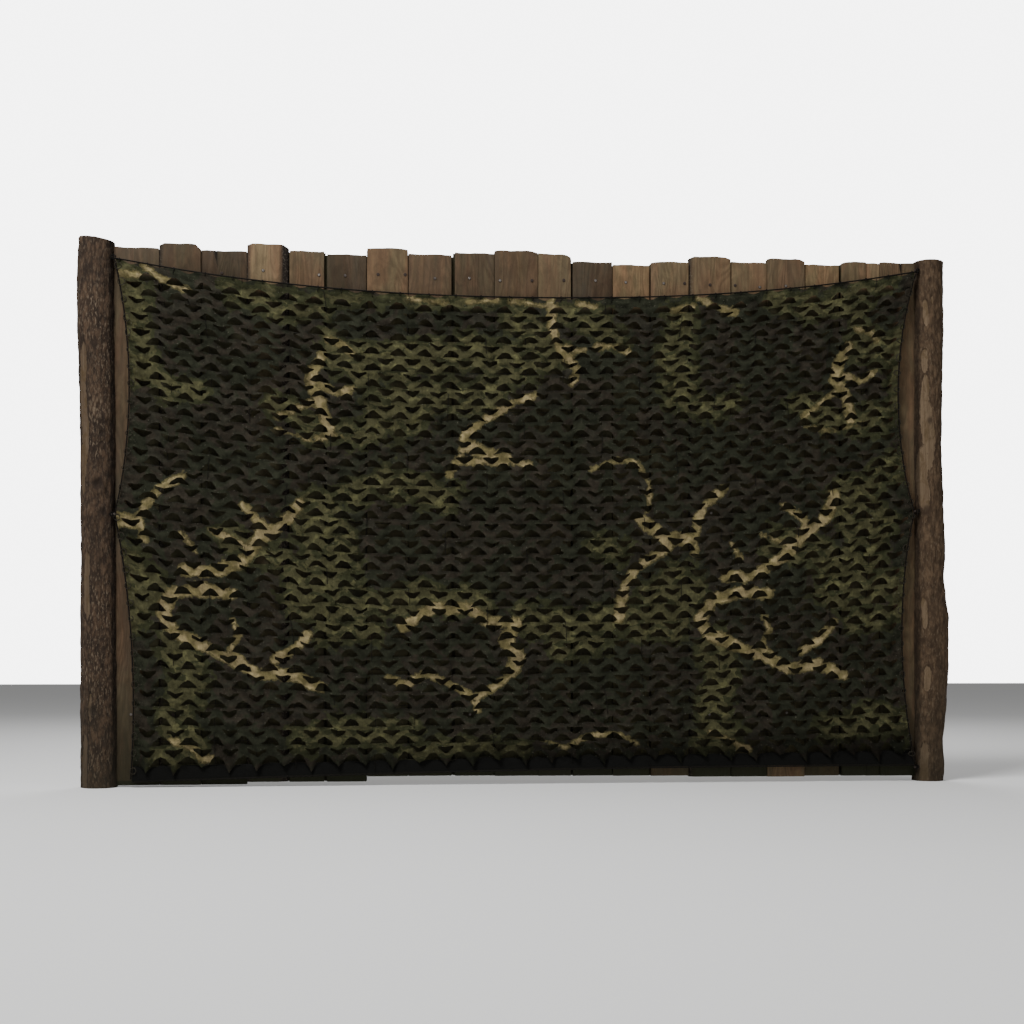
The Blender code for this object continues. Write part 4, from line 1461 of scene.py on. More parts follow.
@dataclass(frozen=True)
class Hang:
    """How the sheet hangs between its ties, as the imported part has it."""

    left: tuple[Span, Span] = (
        Span(TOP_LEFT, MIDDLE_LEFT, 0.046), Span(MIDDLE_LEFT, BOTTOM_LEFT, 0.029),
    )
    right: tuple[Span, Span] = (
        Span(TOP_RIGHT, MIDDLE_RIGHT, 0.059), Span(MIDDLE_RIGHT, BOTTOM_RIGHT, 0.045),
    )
    sag: float = 0.110
    sag_power: float = 2.2
    hem_rise: float = 0.012
    plane: float = -0.034
    inner_sag: float = 0.035  # how far the middle rows hang under the blended edges

    def top(self, across: Array) -> Array:
        """The upper edge, sagging between its ties, as rows of x and z."""
        start, end = np.array(TOP_LEFT), np.array(TOP_RIGHT)
        line = start + (end - start) * across[:, None]
        line[:, 1] -= self.sag * (1 - np.abs(2 * across - 1) ** self.sag_power)
        return line

    def hem(self, across: Array) -> Array:
        """The lower edge as rows of x and z."""
        start, end = np.array(BOTTOM_LEFT), np.array(BOTTOM_RIGHT)
        line = start + (end - start) * across[:, None]
        line[:, 1] += self.hem_rise * np.sin(math.pi * across)
        return line

    def side(self, spans: tuple[Span, Span], down: Array, inward: int) -> Array:
        """A side edge, drawn in between its ties, as rows of x and z."""
        head, foot = spans[0].upper[1], spans[1].lower[1]
        height = head + (foot - head) * down
        line = np.empty((len(down), 2))
        line[:, 1] = height
        for span in spans:
            share = (span.upper[1] - height) / (span.upper[1] - span.lower[1])
            chord = span.upper[0] + (span.lower[0] - span.upper[0]) * share
            x = chord + inward * span.bow * 4 * share * (1 - share)
            here = (share > -1e-9) & (share <= 1 + 1e-9)
            line[:, 0] = np.where(here, x, line[:, 0])
        return line

    def plan(self, across: Array, down: Array) -> Array:
        """Where places on the flat sheet hang, as rows of x and z."""
        u, v = across[:, None], down[:, None]
        corners = (np.array(TOP_LEFT) * (1 - u) + np.array(TOP_RIGHT) * u) * (1 - v)
        corners += (np.array(BOTTOM_LEFT) * (1 - u) + np.array(BOTTOM_RIGHT) * u) * v
        edges = self.top(across) * (1 - v) + self.hem(across) * v
        edges += self.side(self.left, down, 1) * (1 - u)
        edges += self.side(self.right, down, -1) * u
        place = edges - corners
        belly = 1 - np.abs(2 * across - 1) ** self.sag_power
        place[:, 1] -= self.inner_sag * belly * 4 * down * (1 - down) * (0.5 + down)
        return place

    def depth(self, x: Array, z: Array) -> Array:
        """Depth of the cloth: its plane, a slow swell and the pulled folds."""
        depth = self.plane - 0.004 * np.sin(2.4 * x + 0.6) * np.sin(math.pi * z / 1.75)
        for fold in FOLDS:
            start, end = np.array(fold.start), np.array(fold.end)
            along = end - start
            share = ((x - start[0]) * along[0] + (z - start[1]) * along[1])
            share = np.clip(share / (along @ along), 0, 1)
            away = np.hypot(x - start[0] - along[0] * share, z - start[1] - along[1] * share)
            fade = np.sin(math.pi * (0.15 + 0.85 * share)).clip(0) ** 0.8
            depth -= fold.proud * fade * np.exp(-((away / fold.width) ** 2))
        return depth

    def cover_depth(self, places: Array) -> Array:
        """How far places behind the sheet are inside its edges, at most COVER_REACH."""
        x, z = places[:, 0], places[:, 2]
        width = TOP_RIGHT[0] - TOP_LEFT[0]
        under = self.top(np.clip((x - TOP_LEFT[0]) / width, 0, 1))[:, 1] - z - 0.018
        down = np.clip((TOP_LEFT[1] - z) / (TOP_LEFT[1] - BOTTOM_LEFT[1]), 0, 1)
        left = x - self.side(self.left, down, 1)[:, 0] - 0.012
        down = np.clip((TOP_RIGHT[1] - z) / (TOP_RIGHT[1] - BOTTOM_RIGHT[1]), 0, 1)
        right = self.side(self.right, down, -1)[:, 0] - x - 0.012
        inside = np.minimum(under, np.minimum(left, right))
        return np.clip(inside, -COVER_REACH, COVER_REACH)

    def above_hem(self, places: Array) -> Array:
        """How far places are above the line of the lower edge."""
        width = BOTTOM_RIGHT[0] - BOTTOM_LEFT[0]
        across = np.clip((places[:, 0] - BOTTOM_LEFT[0]) / width, 0, 1)
        return places[:, 2] - self.hem(across)[:, 1]

    def at(self, across: Array, down: Array) -> Array:
        """Places on the hung sheet as rows of x, y and z."""
        across, down = np.atleast_1d(across), np.atleast_1d(down)
        plan = self.plan(across, down)
        depth = self.depth(plan[:, 0], plan[:, 1])
        return np.column_stack((plan[:, 0], depth, plan[:, 1]))


LEAF_PITCH = (91.4, 56.0)  # mm between like gaps, across and down
LEAF_HALF = LEAF_PITCH[0] / 2
# Vertices of half a repeat, from the middle of an upright gap to that of a hanging one,
# each as mm across, up and forward.
LEAF = (
    ((0, 10, 1), (9, 9.4, 1.5), (17.2, 8.2, 0.5), (31.5, 7.0, 1.8), (45.7, 4.2, 2)),
    ((0, 1, -1.5), (10, 1.5, -0.5), (18.8, 0.6, 0), (35, 0, 0), (45.7, -5, 0)),
    ((0, -6.5, 0.5), (12, -6, 0), (28.0, -5.4, 0), (37.0, -12.2, -2.6), (45.7, -14.8, -4.2)),
    ((0, -13.0, 2.5), (8.2, -14.9, 2), (15.8, -20.1, 1), (30.5, -18.2, 0.4), (45.7, -21.0, 0.5)),
    ((0, -26, 0), (10, -27, 0), (24.4, -28.2, 0), (36, -28, 3.5), (45.7, -29.5, 6)),
    ((0, -38.0, -4.4), (15, -38.6, -3.8), (31.0, -37.6, -0.5), (38.5, -40, 6), (45.7, -42, 9.5)),
)

# Painted light and shade on the cloth: lighter where a lobe hangs out, painted shade where one
# goes in.
LOBE_LIGHT = (
    (1.00, 1.00, 1.06, 1.14, 1.18),
    (1.00, 1.00, 1.00, 1.00, 1.00),
    (1.00, 0.95, 0.80, 0.62, 0.56),
    (1.18, 1.14, 1.06, 1.00, 1.00),
    (1.00, 1.00, 1.00, 1.00, 1.00),
    (0.56, 0.62, 0.80, 0.95, 1.00),
)


class Twig(NamedTuple):
    """A stroke of the print in cm: half its width, then its line's points."""

    half: float
    line: tuple[tuple[float, float], ...]


PRINT_REPEAT = 1.91  # metres across
# The pale twigs and the olive blotches of one repeat, from the upper left corner.
TWIGS = (
    Twig(1.2, ((0, 5), (7, 4))),
    Twig(1.2, ((9, 0), (14, 4), (23, 7))),
    Twig(0.9, ((69, 18), (74, 19), (78, 23))),
    Twig(2, ((67, 24), (64, 29), (63, 35), (67, 42), (69, 50))),
    Twig(1.2, ((66, 34), (72, 37), (77, 35))),
    Twig(1, ((65, 39), (57, 44), (51, 47))),
    Twig(0.5, ((51, 51), (62, 54), (74, 52))),
    Twig(1.2, ((143, 35), (136, 37), (125, 44), (118, 49), (116, 57), (112, 64))),
    Twig(1.2, ((115, 59.2), (128, 59.2), (140, 60))),
    Twig(2.2, ((119, 53.5), (125, 56), (132, 57.8))),
    Twig(0.8, ((163, 62), (172, 59), (180, 60), (184, 68), (183, 77), (180, 81))),
    Twig(2.2, ((180, 81), (188, 88), (198, 89))),
    Twig(1.8, ((189, 92), (178, 99), (174, 107), (172, 118))),
    Twig(1.3, ((2, 88), (8, 88), (9, 82), (12, 77), (20, 71))),
    Twig(1.2, ((8, 88), (8, 94))),
    Twig(2, ((60, 77), (55, 85), (46, 92), (41, 98), (32, 103), (20, 104))),
    Twig(1.3, ((41, 79), (48, 85), (46, 92))),
    Twig(1, ((32, 89), (42, 93))),
    Twig(0.9, ((21, 91), (25, 97))),
    Twig(2.2, ((36, 111), (25, 110), (16, 112), (11, 119), (14, 125), (24, 130))),
    Twig(2, ((24, 130), (36, 136), (44, 140), (55, 139), (65, 144))),
    Twig(1.6, ((49, 134), (56, 130), (61, 124))),
    Twig(1, ((35, 120), (37, 125), (34, 131), (38, 135))),
    Twig(2, ((95, 120), (106, 113), (117, 113), (125, 118), (135, 119))),
    Twig(2.4, ((135, 119), (131, 126), (136, 132), (133, 138))),
    Twig(1.3, ((89, 140), (95, 143), (102, 138), (110, 142), (119, 148))),
    Twig(1.3, ((119, 148), (126, 144), (134, 138))),
    Twig(1.1, ((119, 148), (120, 153))),
    Twig(0.8, ((143, 166), (151, 169), (161, 164), (171, 164), (177, 168))),
    Twig(1, ((13, 164), (19, 166.5), (24, 170))),
    Twig(1.7, ((23, 170.5), (26, 171))),
    Twig(0.9, ((133, 1), (149, 3))),
    Twig(0.5, ((98, 1.4), (111, 2.4))),
    Twig(0.6, ((119, 1.8), (129, 1))),
    Twig(0.8, ((157, 2), (163, 3))),
    Twig(1.4, ((147, 0), (148, 9), (151, 18), (158, 26), (156, 31))),
    Twig(0.9, ((152, 18), (160, 19))),
    Twig(1, ((164, 18), (170, 17), (176, 20))),
)
BLOTCHES = (
    Twig(1.4, ((36, 3), (56, 5), (80, 3))),
    Twig(1.8, ((66, 3), (69, 10), (70, 16))),
    Twig(1, ((88, 2.2), (110, 1.6), (140, 2))),
    Twig(5.2, ((3, 8), (3, 22), (5, 36))),
    Twig(3, ((5, 38), (13, 42), (24, 40))),
    Twig(3.5, ((40, 5), (52, 8), (62, 8))),
    Twig(5.5, ((72, 24), (85, 27), (100, 22), (115, 20), (135, 22), (148, 20))),
    Twig(5, ((88, 38), (100, 36), (115, 36), (128, 34))),
    Twig(4, ((80, 50), (95, 47), (102, 42))),
    Twig(4.8, ((136, 8), (144, 14), (140, 25))),
    Twig(4.2, ((78, 72), (90, 67), (100, 70), (112, 72))),
    Twig(8.5, ((66, 80), (72, 92), (68, 104), (62, 110))),
    Twig(4.5, ((38, 92), (50, 96), (60, 100))),
    Twig(4.5, ((2, 102), (8, 110), (3, 118))),
    Twig(5, ((66, 116), (85, 112), (102, 110), (120, 111))),
    Twig(3.5, ((70, 124), (85, 122))),
    Twig(5.5, ((16, 130), (20, 142), (14, 154), (18, 164))),
    Twig(4.5, ((58, 164), (72, 160), (86, 163), (95, 162))),
    Twig(3, ((95, 170), (115, 168), (135, 169))),
    Twig(5.5, ((140, 118), (158, 120), (175, 118), (192, 120))),
    Twig(4, ((150, 127), (166, 126))),
    Twig(4.5, ((184, 108), (196, 110))),
    Twig(3, ((164, 90), (172, 93))),
    Twig(4, ((10, 170), (20, 168))),
    Twig(3, ((50, 42), (62, 50), (76, 52))),
    Twig(3, ((155, 6), (166, 10), (172, 16))),
)


def reach_of(strokes: Sequence[Twig], flat: Array) -> Array:
    """Distance from each place on the flat cloth to the nearest stroke's edge.

    Args:
        strokes: Strokes of one print repeat.
        flat: Rows of metres across and down the flat cloth.

    Returns:
        The distances, negative inside a stroke.
    """
    reach = np.full(len(flat), 1.0)
    for stroke in strokes:
        line = np.array(stroke.line) * CM
        for start, end in zip(line, line[1:]):
            for repeat in (-1, 0, 1):
                first = start + (repeat * PRINT_REPEAT, 0)
                way = end - start
                share = np.clip((flat - first) @ way / (way @ way), 0, 1)
                away = np.linalg.norm(flat - first - way * share[:, None], axis=1)
                reach = np.minimum(reach, away - stroke.half * CM)
    return reach


@dataclass
class Netting:
    """The printed sheet with its rows of hanging and upright leaf gaps."""

    hang: Hang
    columns: int = 30
    rows: int = 28
    flat_width: float = 2.78
    flat_length: float = 1.78
    thickness: float = 0.0007
    top_strip: float = 20.0  # mm from the upper edge to the first hanging gaps' middle
    hem_strip: float = 42.0  # mm from the last upright gaps' foot to the lower edge
    last_lobe: float = 13.0  # mm that the last leaves hang lower
    scallop: float = 9.0  # mm that the upper edge dips between its lashings
    tuck: float = 2.4  # mm that the upper edge goes up behind the border cord
    top_step: float = 6.2  # mm between the vertex rows of the top strip
    upright_foot: float = 36.6  # mm from a repeat's zero line to its upright gaps' feet
    hem_back: float = 6.0  # mm that the cloth over the hem leans back
    billow: float = 0.0016  # metres
    shade_height: float = 0.13  # metres over the hem that its shade fades out in

    STEPS_ACROSS = 8
    HALF = 4  # columns from the middle of an upright gap to that of a hanging one
    STEPS_DOWN = 6
    FIRST = 2  # vertex rows above the first gaps
    LAST = 3  # vertex rows below the last ones

    def _folded(self, column: Array) -> tuple[Array, Array]:
        """Place in the half repeat, and 1 or -1 for the half that it is in."""
        inside = column % self.STEPS_ACROSS
        first = inside <= self.HALF
        place = np.where(first, inside, self.STEPS_ACROSS - inside)
        return place, np.where(first, 1, -1)

    @property
    def _last_row(self) -> int:
        """The vertex row along the last upright gaps' feet."""
        return self.FIRST + self.rows * self.STEPS_DOWN - 1

    def build(self) -> Piece:
        """Model the sheet: its grid, gaps, leaf curls and print."""
        wide = self.columns * self.STEPS_ACROSS
        tall = self._last_row + self.LAST
        column, row = (a.ravel() for a in np.meshgrid(np.arange(wide + 1), np.arange(tall + 1)))
        across, down, forward, rim = self._pattern(column, row)
        light = self._lobe_light(column, row)
        u, v = self._ease(across, down)
        place = self.hang.at(u, v)
        place[:, 1] -= forward * MM
        place[:, 1] += self._billow(place)
        place[row == 0, 2] += self.tuck * MM
        obj = mesh_object("leaf_cut_netting", place, self._faces(wide, tall))
        flat = np.column_stack((u * self.flat_width, v * self.flat_length))
        self._print(obj, flat, rim, column)
        Workbench.mark(obj, lobe_light=light)
        Workbench.edit_all(obj)
        bpy.ops.mesh.delete_loose(use_verts=True, use_edges=False, use_faces=False)
        Workbench.clear()
        Workbench.apply(
            obj, "SOLIDIFY", thickness=self.thickness, offset=0.0, use_even_offset=False
        )
        Workbench.smooth(obj, 60.0)
        return obj

    def _ease(self, across: Array, down: Array) -> tuple[Array, Array]:
        """Closer rows near the top and closer columns to the right."""
        u = across * 1.015 - 0.015 * across ** 4
        v = down * 0.86 + 0.14 * down ** 2
        return u, v

    def _pattern(self, column: Array, row: Array) -> tuple[Array, ...]:
        """Lay every vertex of the grid on the leaf pattern.

        Args:
            column: Vertex columns.
            row: Vertex rows.

        Returns:
            Shares across and down the flat sheet, mm forward, and 1 on a cut edge.
        """
        table = np.array(LEAF, dtype=float)
        pitch_across, pitch_down = LEAF_PITCH
        place, side = self._folded(column)
        cell_row = (row - self.FIRST) // self.STEPS_DOWN
        line = (row - self.FIRST) % self.STEPS_DOWN
        x, up, forward = (table[line, place, k].copy() for k in range(3))
        self._vary(column, cell_row, line, place, side, x, up, forward)
        base = column // self.STEPS_ACROSS * pitch_across
        across = np.where(side > 0, base + x, base + pitch_across - x)
        down = self.top_strip + cell_row * pitch_down - up
        foot = self.top_strip + (self.rows - 1) * pitch_down + self.upright_foot
        length = foot + self.hem_strip
        above = row < self.FIRST
        nominal = column * pitch_across / self.STEPS_ACROSS
        dip = np.clip(1 - np.abs(place - self.HALF) / 2.6, 0, 1)
        dip = self.scallop * np.sin(dip * math.pi / 2) ** 1.5
        dip *= 1 + 0.3 * np.sin(column * 0.37)
        down = np.where(above, row * self.top_step + dip * (1 - 0.45 * row), down)
        last = self._last_row
        below = row > last
        hang = self.last_lobe * np.clip(place - 1.5, 0, None) ** 1.4 / 3.6
        hang *= 1.25 + 0.95 * np.sin(column // self.STEPS_ACROSS * 2.3)
        down += np.where(row == last, hang, 0)
        step = np.clip((row - last - 1) / (self.LAST - 1), 0, None)
        edge_down = foot + hang + 2.0
        down = np.where(below, edge_down + (length - edge_down) * step, down)
        across = np.where(above | below, nominal, across)
        forward = np.where(above | below, -self.hem_back * below * (1 - step), forward)
        edge = (column == 0) | (column == column.max())
        across = np.where(edge, nominal, across)
        ring = ~(above | below) & ~edge & (
            ((line < 3) & (place >= 2)) | ((line >= 3) & (place <= 2))
        )
        across = across / (self.columns * pitch_across)
        return across, down / length, forward, ring.astype(float)

    def _vary(
        self, column: Array, cell_row: Array, line: Array, place: Array, side: Array,
        x: Array, up: Array, forward: Array,
    ) -> None:
        """Make each leaf its own: droop, curl, width and drift in mm, moved in place."""
        draw = np.random.default_rng(SEED)
        shape = (self.rows + 3, self.columns + 2)
        droop = draw.normal(0.0, 2.4, shape)
        droop[draw.random(shape) < 0.10] = 5.5
        lift = np.abs(draw.normal(0.0, 2.2, shape))
        lift[draw.random(shape) < 0.08] = 9.0
        curl = draw.uniform(0.5, 1.6, shape)
        drift_x, drift_z = draw.normal(0.0, 1.5, shape), draw.normal(0.0, 1.2, shape)
        widen = draw.normal(1.0, 0.07, shape)
        tilt = draw.normal(0.0, 0.06, shape)
        twist = draw.normal(0.0, 2.4, shape)
        j = np.clip(cell_row + 1, 0, self.rows + 2)
        hanging = np.clip(column // self.STEPS_ACROSS, 0, self.columns + 1)
        upright = (column + self.HALF) // self.STEPS_ACROSS
        upright = np.clip(upright, 0, self.columns + 1)
        is_hanging = (line < 3) & (place >= 2)
        is_upright = (line >= 3) & (place <= 2)
        centre = np.where(is_hanging, LEAF_HALF, 0.0)
        pick = np.where(is_hanging, hanging, upright)
        ring = is_hanging | is_upright
        up -= np.where(is_hanging & (line == 0), droop[j, pick] * (place - 2) / 2, 0)
        up -= np.where(is_hanging & (line == 1), droop[j, pick] * 0.2, 0)
        up += np.where(is_upright & (line == 5), lift[j, pick] * (2 - place) / 2, 0)
        x += np.where(ring, (x - centre) * (widen[j, pick] - 1), 0)
        x += np.where(ring, drift_x[j, pick] * side, 0)
        up += np.where(ring, drift_z[j, pick], 0)
        up += np.where(ring, tilt[j, pick] * (x - centre) * side, 0)
        jag = draw.normal(0.0, 1.6, (2, len(column)))
        x += np.where(ring, jag[0], 0)
        up += np.where(ring, jag[1] * 0.8, 0)
        forward *= curl[j, hanging]
        forward -= twist[j, hanging] * side * (self.HALF - place) * place / self.HALF

    def _lobe_light(self, column: Array, row: Array) -> Array:
        """Painted light and shade for each place by its spot on the lobe, times a tone that
        differs leaf by leaf.
        """
        place, _ = self._folded(column)
        line = (row - self.FIRST) % self.STEPS_DOWN
        light = np.array(LOBE_LIGHT)[line, place]
        own = np.random.default_rng(SEED + 1).uniform(0.78, 1.2, (row.max(), column.max()))
        return light * own[row // 3, (column + 2) // 4]

    def _faces(self, wide: int, tall: int) -> list[tuple[int, int, int, int]]:
        """The grid's faces, without those that the gaps take."""
        column, row = (a.ravel() for a in np.meshgrid(np.arange(wide), np.arange(tall)))
        inside = column % self.STEPS_ACROSS
        line = (row - self.FIRST) % self.STEPS_DOWN
        cut = (row >= self.FIRST) & (row < self._last_row)
        hanging = (line < 2) & (inside >= 2) & (inside <= 5)
        upright = ((line == 3) | (line == 4)) & ((inside <= 1) | (inside >= 6))
        upright &= (column >= 2) & (column < wide - 2)
        hanging &= row >= self.FIRST + self.STEPS_DOWN
        keep = ~(cut & (hanging | upright))
        column, row = column[keep], row[keep]
        start = row * (wide + 1) + column
        below = start + wide + 1
        return np.column_stack((start, below, below + 1, start + 1)).tolist()

    def _billow(self, place: Array) -> Array:
        """Small swells between the folds."""
        x, z = place[:, 0], place[:, 2]
        swell = np.sin(x * 11 + 2.1 * np.sin(z * 5)) * np.sin(z * 9 + 1.3 * np.sin(x * 4))
        return self.billow * swell

    def _print(
        self, obj: Piece, flat: Array, rim: Array, column: Array
    ) -> None:
        """Store the flat places and how near each vertex is to the print's strokes."""
        Workbench.lay_flat(obj, flat)
        rows = np.arange(len(column)) // (column.max() + 1)
        up_hem = self.flat_length - flat[:, 1]
        near = np.clip(1.35 - up_hem / self.shade_height, 0, 1)
        near *= 0.55 + 0.45 * np.clip((flat[:, 0] / self.flat_width - 0.36) / 0.08, 0, 1)
        Workbench.mark(
            obj, twig_reach=reach_of(TWIGS, flat), blotch_reach=reach_of(BLOTCHES, flat),
            cut_edge=rim, hem_share=rows > self._last_row, near_hem=near,
        )


# ============================================================================= cords
def tube(
    path: Array, radius: float, sides: int, lay: float = 0.0, strands: int = STRANDS,
    ridge: float = 0.12,
) -> tuple[Array, list, Array]:
    """A cord's skin on a path, twisted from strands where it has a lay.

    Args:
        path: Rows of x, y and z.
        radius: The cord's radius.
        sides: Vertices round it.
        lay: Length of one turn of the twist, or 0 for a smooth cord.
        strands: Strands in the twist.
        ridge: How far the strands stand out, as a share of the radius.

    Returns:
        Vertices, faces, and for each vertex metres along and the share round.
    """
    path = np.asarray(path, dtype=float)
    run = np.gradient(path, axis=0)
    run /= np.linalg.norm(run, axis=1)[:, None]
    along = run_length(path)
    side = np.cross(run, (0.0, 1.0, 0.0))
    weak = np.linalg.norm(side, axis=1) < 0.2
    side[weak] = np.cross(run[weak], (1.0, 0.0, 0.0))
    side /= np.linalg.norm(side, axis=1)[:, None]
    other = np.cross(run, side)
    turn = np.arange(sides) * math.tau / sides
    angle = turn[None, :] + np.zeros((len(path), 1))
    reach = np.full(angle.shape, radius)
    if lay:
        twist = along[:, None] * math.tau / lay
        reach = radius * (1 - ridge + ridge * np.abs(np.cos((angle - twist) * strands / 2)))
    outward = np.cos(angle)[..., None] * side[:, None, :]
    outward += np.sin(angle)[..., None] * other[:, None, :]
    skin = path[:, None, :] + reach[..., None] * outward
    count = len(path)
    faces = []
    for start in range(0, (count - 1) * sides, sides):
        for s in range(sides):
            n = (s + 1) % sides
            faces.append((start + s, start + n, start + sides + n, start + sides + s))
    faces.append(tuple(reversed(range(sides))))
    faces.append(tuple(range((count - 1) * sides, count * sides)))
    flat = np.column_stack((
        np.repeat(along, sides), np.tile(np.arange(sides) / sides, count)
    ))
    return skin.reshape(-1, 3), faces, flat


def cord_object(name: str, tubes: Sequence[tuple[Array, list, Array]]) -> Piece:
    """Join tubes into one object with its flat places as a UV map.

    Args:
        name: The object's name.
        tubes: What tube() gave.

    Returns:
        The object.
    """
    places, faces, flats, start = [], [], [], 0
    for skin, some, flat in tubes:
        places.append(skin)
        flats.append(flat)
        faces += [tuple(index + start for index in face) for face in some]
        start += len(skin)
    obj = mesh_object(name, np.concatenate(places), faces)
    Workbench.lay_flat(obj, np.concatenate(flats))
    Workbench.edit_all(obj)
    bpy.ops.mesh.normals_make_consistent(inside=False)
    Workbench.smooth(obj, 70.0)
    return obj


def even(path: Array, step: float) -> Array:
    """Points on a path at an even step.

    Args:
        path: Rows of x, y and z.
        step: About how far apart the new points are.

    Returns:
        The new rows.
    """
    along = run_length(path)
    marks = np.linspace(0, along[-1], max(2, round(along[-1] / step)))
    return points_at(marks, along, path)


class Edge(Enum):
    """The cloth's four edges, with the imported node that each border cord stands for."""

    TOP = "cord_top"
    BOTTOM = "cord_bottom"
    LEFT = "cord_left"
    RIGHT = "cord_right"


@dataclass
class Cords:
    """Border cords, edge loops, lashings, backing twine and the knots at the nails."""

    hang: Hang
    border: float = 0.0025  # radius
    border_step: float = 0.0042  # between the rings of its skin
    away: float = 0.0033  # from the cloth's edge to its middle
    lay: float = 0.021
    loops: int = 31  # on each side
    loop_wide: float = 0.010
    loop_tall: float = 0.011
    thread: float = 0.0011  # radius of the loops and the lashings
    thread_lay: float = 0.008
    twine: float = 0.0010  # radius
    twine_pitch: float = 0.135
    twine_rows: int = 12
    twine_behind: float = 0.0052
    twine_passes: float = 0.0115  # how far the uprights come forward where threaded
    rows_behind: float = 0.0062
    knot_wide: float = 0.0062
    knot_tall: float = 0.0068
    knot_cord: float = 0.0014  # radius
    tail: float = 0.024
    nails: tuple[str, ...] = (
        "nail_left_top", "nail_left_middle", "nail_right_top", "nail_right_middle",
        "nail_right_foot",
    )

    def build(self, effects: SharedEffects) -> list[Piece]:
        """Model and dress every cord.

        Args:
            effects: The shared node groups.

        Returns:
            The pieces that go with the sheet.
        """
        black = CordFinish(
            "black_twisted_cord", (0.004, 0.0036, 0.003), (0.016, 0.013, 0.010), self.lay
        ).build(effects)
        pale = CordFinish(
            "flecked_thread", (0.008, 0.007, 0.005), (0.120, 0.105, 0.075),
            self.thread_lay,
        ).build(effects)
        pieces = []
        for edge in Edge:
            path = even(self._border(edge), self.border_step)
            skin = tube(path, self.border, 9, self.lay)
            obj = cord_object(f"border_{edge.name.lower()}", [skin])
            finish_piece(obj, black, [edge.value])
            pieces.append(obj)
        for name, tubes, finish in (
            ("edge_loops", self._loops(), pale),
            ("top_lashings", self._lashings(), black),
            ("backing_twine", self._backing(), black),
            ("nail_knots", self._knots(), black),
        ):
            obj = cord_object(name, tubes)
            finish_piece(obj, finish)
            pieces.append(obj)
        return pieces

    def _border(self, edge: Edge) -> Array:
        """The line of a border cord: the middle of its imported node, read along it."""
        share = np.linspace(0, 1, 120)
        zero, one = np.zeros_like(share), np.ones_like(share)
        across, down, out = {
            Edge.TOP: (share, zero, (0, 1)), Edge.BOTTOM: (share, one, (0, -1)),
            Edge.LEFT: (zero, share, (-1, 0)), Edge.RIGHT: (one, share, (1, 0)),
        }[edge]
        line = self.hang.at(across, down)
        line[:, 0] += out[0] * self.away
        line[:, 2] += out[1] * self.away
        low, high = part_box(edge.value)
        if edge in (Edge.TOP, Edge.BOTTOM):
            inner = self.border * 0.9
            first = [low[0] + inner, line[0, 1] * 0.8, line[0, 2]]
            last = [high[0] - inner, line[-1, 1] * 0.8, line[-1, 2]]
            return np.vstack([first, line, last] if edge is Edge.TOP else [line, last])
        trim = 2 * self.border + 0.0005
        line[0, 2] -= trim
        line[-1, 2] += trim
        return line

    def _loops(self) -> list:
        """A twisted loop round each side cord for about every row of leaves."""
        draw = np.random.default_rng(SEED + 1)
        turn = np.linspace(0, math.tau * 1.9, 22)
        tubes = []
        for edge, inward in ((Edge.LEFT, 1), (Edge.RIGHT, -1)):
            line = self._border(edge)
            scale = np.linspace(0, 1, len(line))
            for k in range(self.loops):
                share = np.clip((k + 0.4 + draw.normal(0, 0.06)) / self.loops, 0, 1)
                centre = points_at(share, scale, line)
                wide = self.loop_wide * draw.uniform(0.8, 1.25)
                tall = self.loop_tall * draw.uniform(0.7, 1.3)
                path = np.column_stack((
                    centre[0] + inward * (wide * 0.55 + wide * np.cos(turn)),
                    centre[1] - 0.003 - 0.0035 * np.sin(turn * 0.5 + 0.6),
                    centre[2] + tall * np.sin(turn) + 0.002 * turn / math.tau,
                ))
                tubes.append(tube(path, self.thread, 5, self.thread_lay, 2, 0.3))
        return tubes

    def _lashings(self) -> list:
        """Short ties from the top cord down to the cloth between its scallops."""
        draw = np.random.default_rng(SEED + 2)
        tubes = []
        line = self._border(Edge.TOP)
        wide = TOP_RIGHT[0] - TOP_LEFT[0]
        turn = np.linspace(0, math.tau, 13)
        for k in range(Netting.columns + 1):
            share = (k + draw.normal(0, 0.05)) / Netting.columns
            share = np.clip(share, 0.004, 0.996)
            x = TOP_LEFT[0] + wide * (share * 1.04 - 0.04 * share ** 2)
            top = points_at(x, line[:, 0], line)
            half = draw.uniform(0.009, 0.022) / 2
            middle = top[2] - half + 0.0035
            ring = np.column_stack((
                top[0] + 0.0016 * np.sin(turn * 2), top[1] - 0.0045 * np.sin(turn),
                middle + (half + 0.0005) * np.sin(turn + math.pi / 2),
            ))
            tubes.append(tube(ring, self.thread, 5))
        return tubes

    def _backing(self) -> list:
        """Square twine netting behind the cloth, here and there threaded to its front."""
        tubes = []
        wide = TOP_RIGHT[0] - TOP_LEFT[0]
        lines = int(wide / self.twine_pitch)
        down = np.linspace(0.0, 1.0, 150)
        for k in range(1, lines):
            share = k / lines
            u = np.full_like(down, share) + 0.0012 * np.sin(down * 31 + k)
            path = self.hang.at(u, down)
            front = np.clip(np.sin(down * 23 + k * 2.7) * 4 - 3.1, 0, 1)
            path[:, 1] += self.twine_behind - self.twine_passes * front
            tubes.append(tube(path, self.twine, 5))
        across = np.linspace(0.0, 1.0, 240)
        rows = self.twine_rows + 1
        for k in range(1, rows):
            v = np.full_like(across, k / rows) + 0.001 * np.sin(across * 47 + k)
            path = self.hang.at(across, v)
            path[:, 1] += self.rows_behind
            tubes.append(tube(path, self.twine, 5))
        return tubes

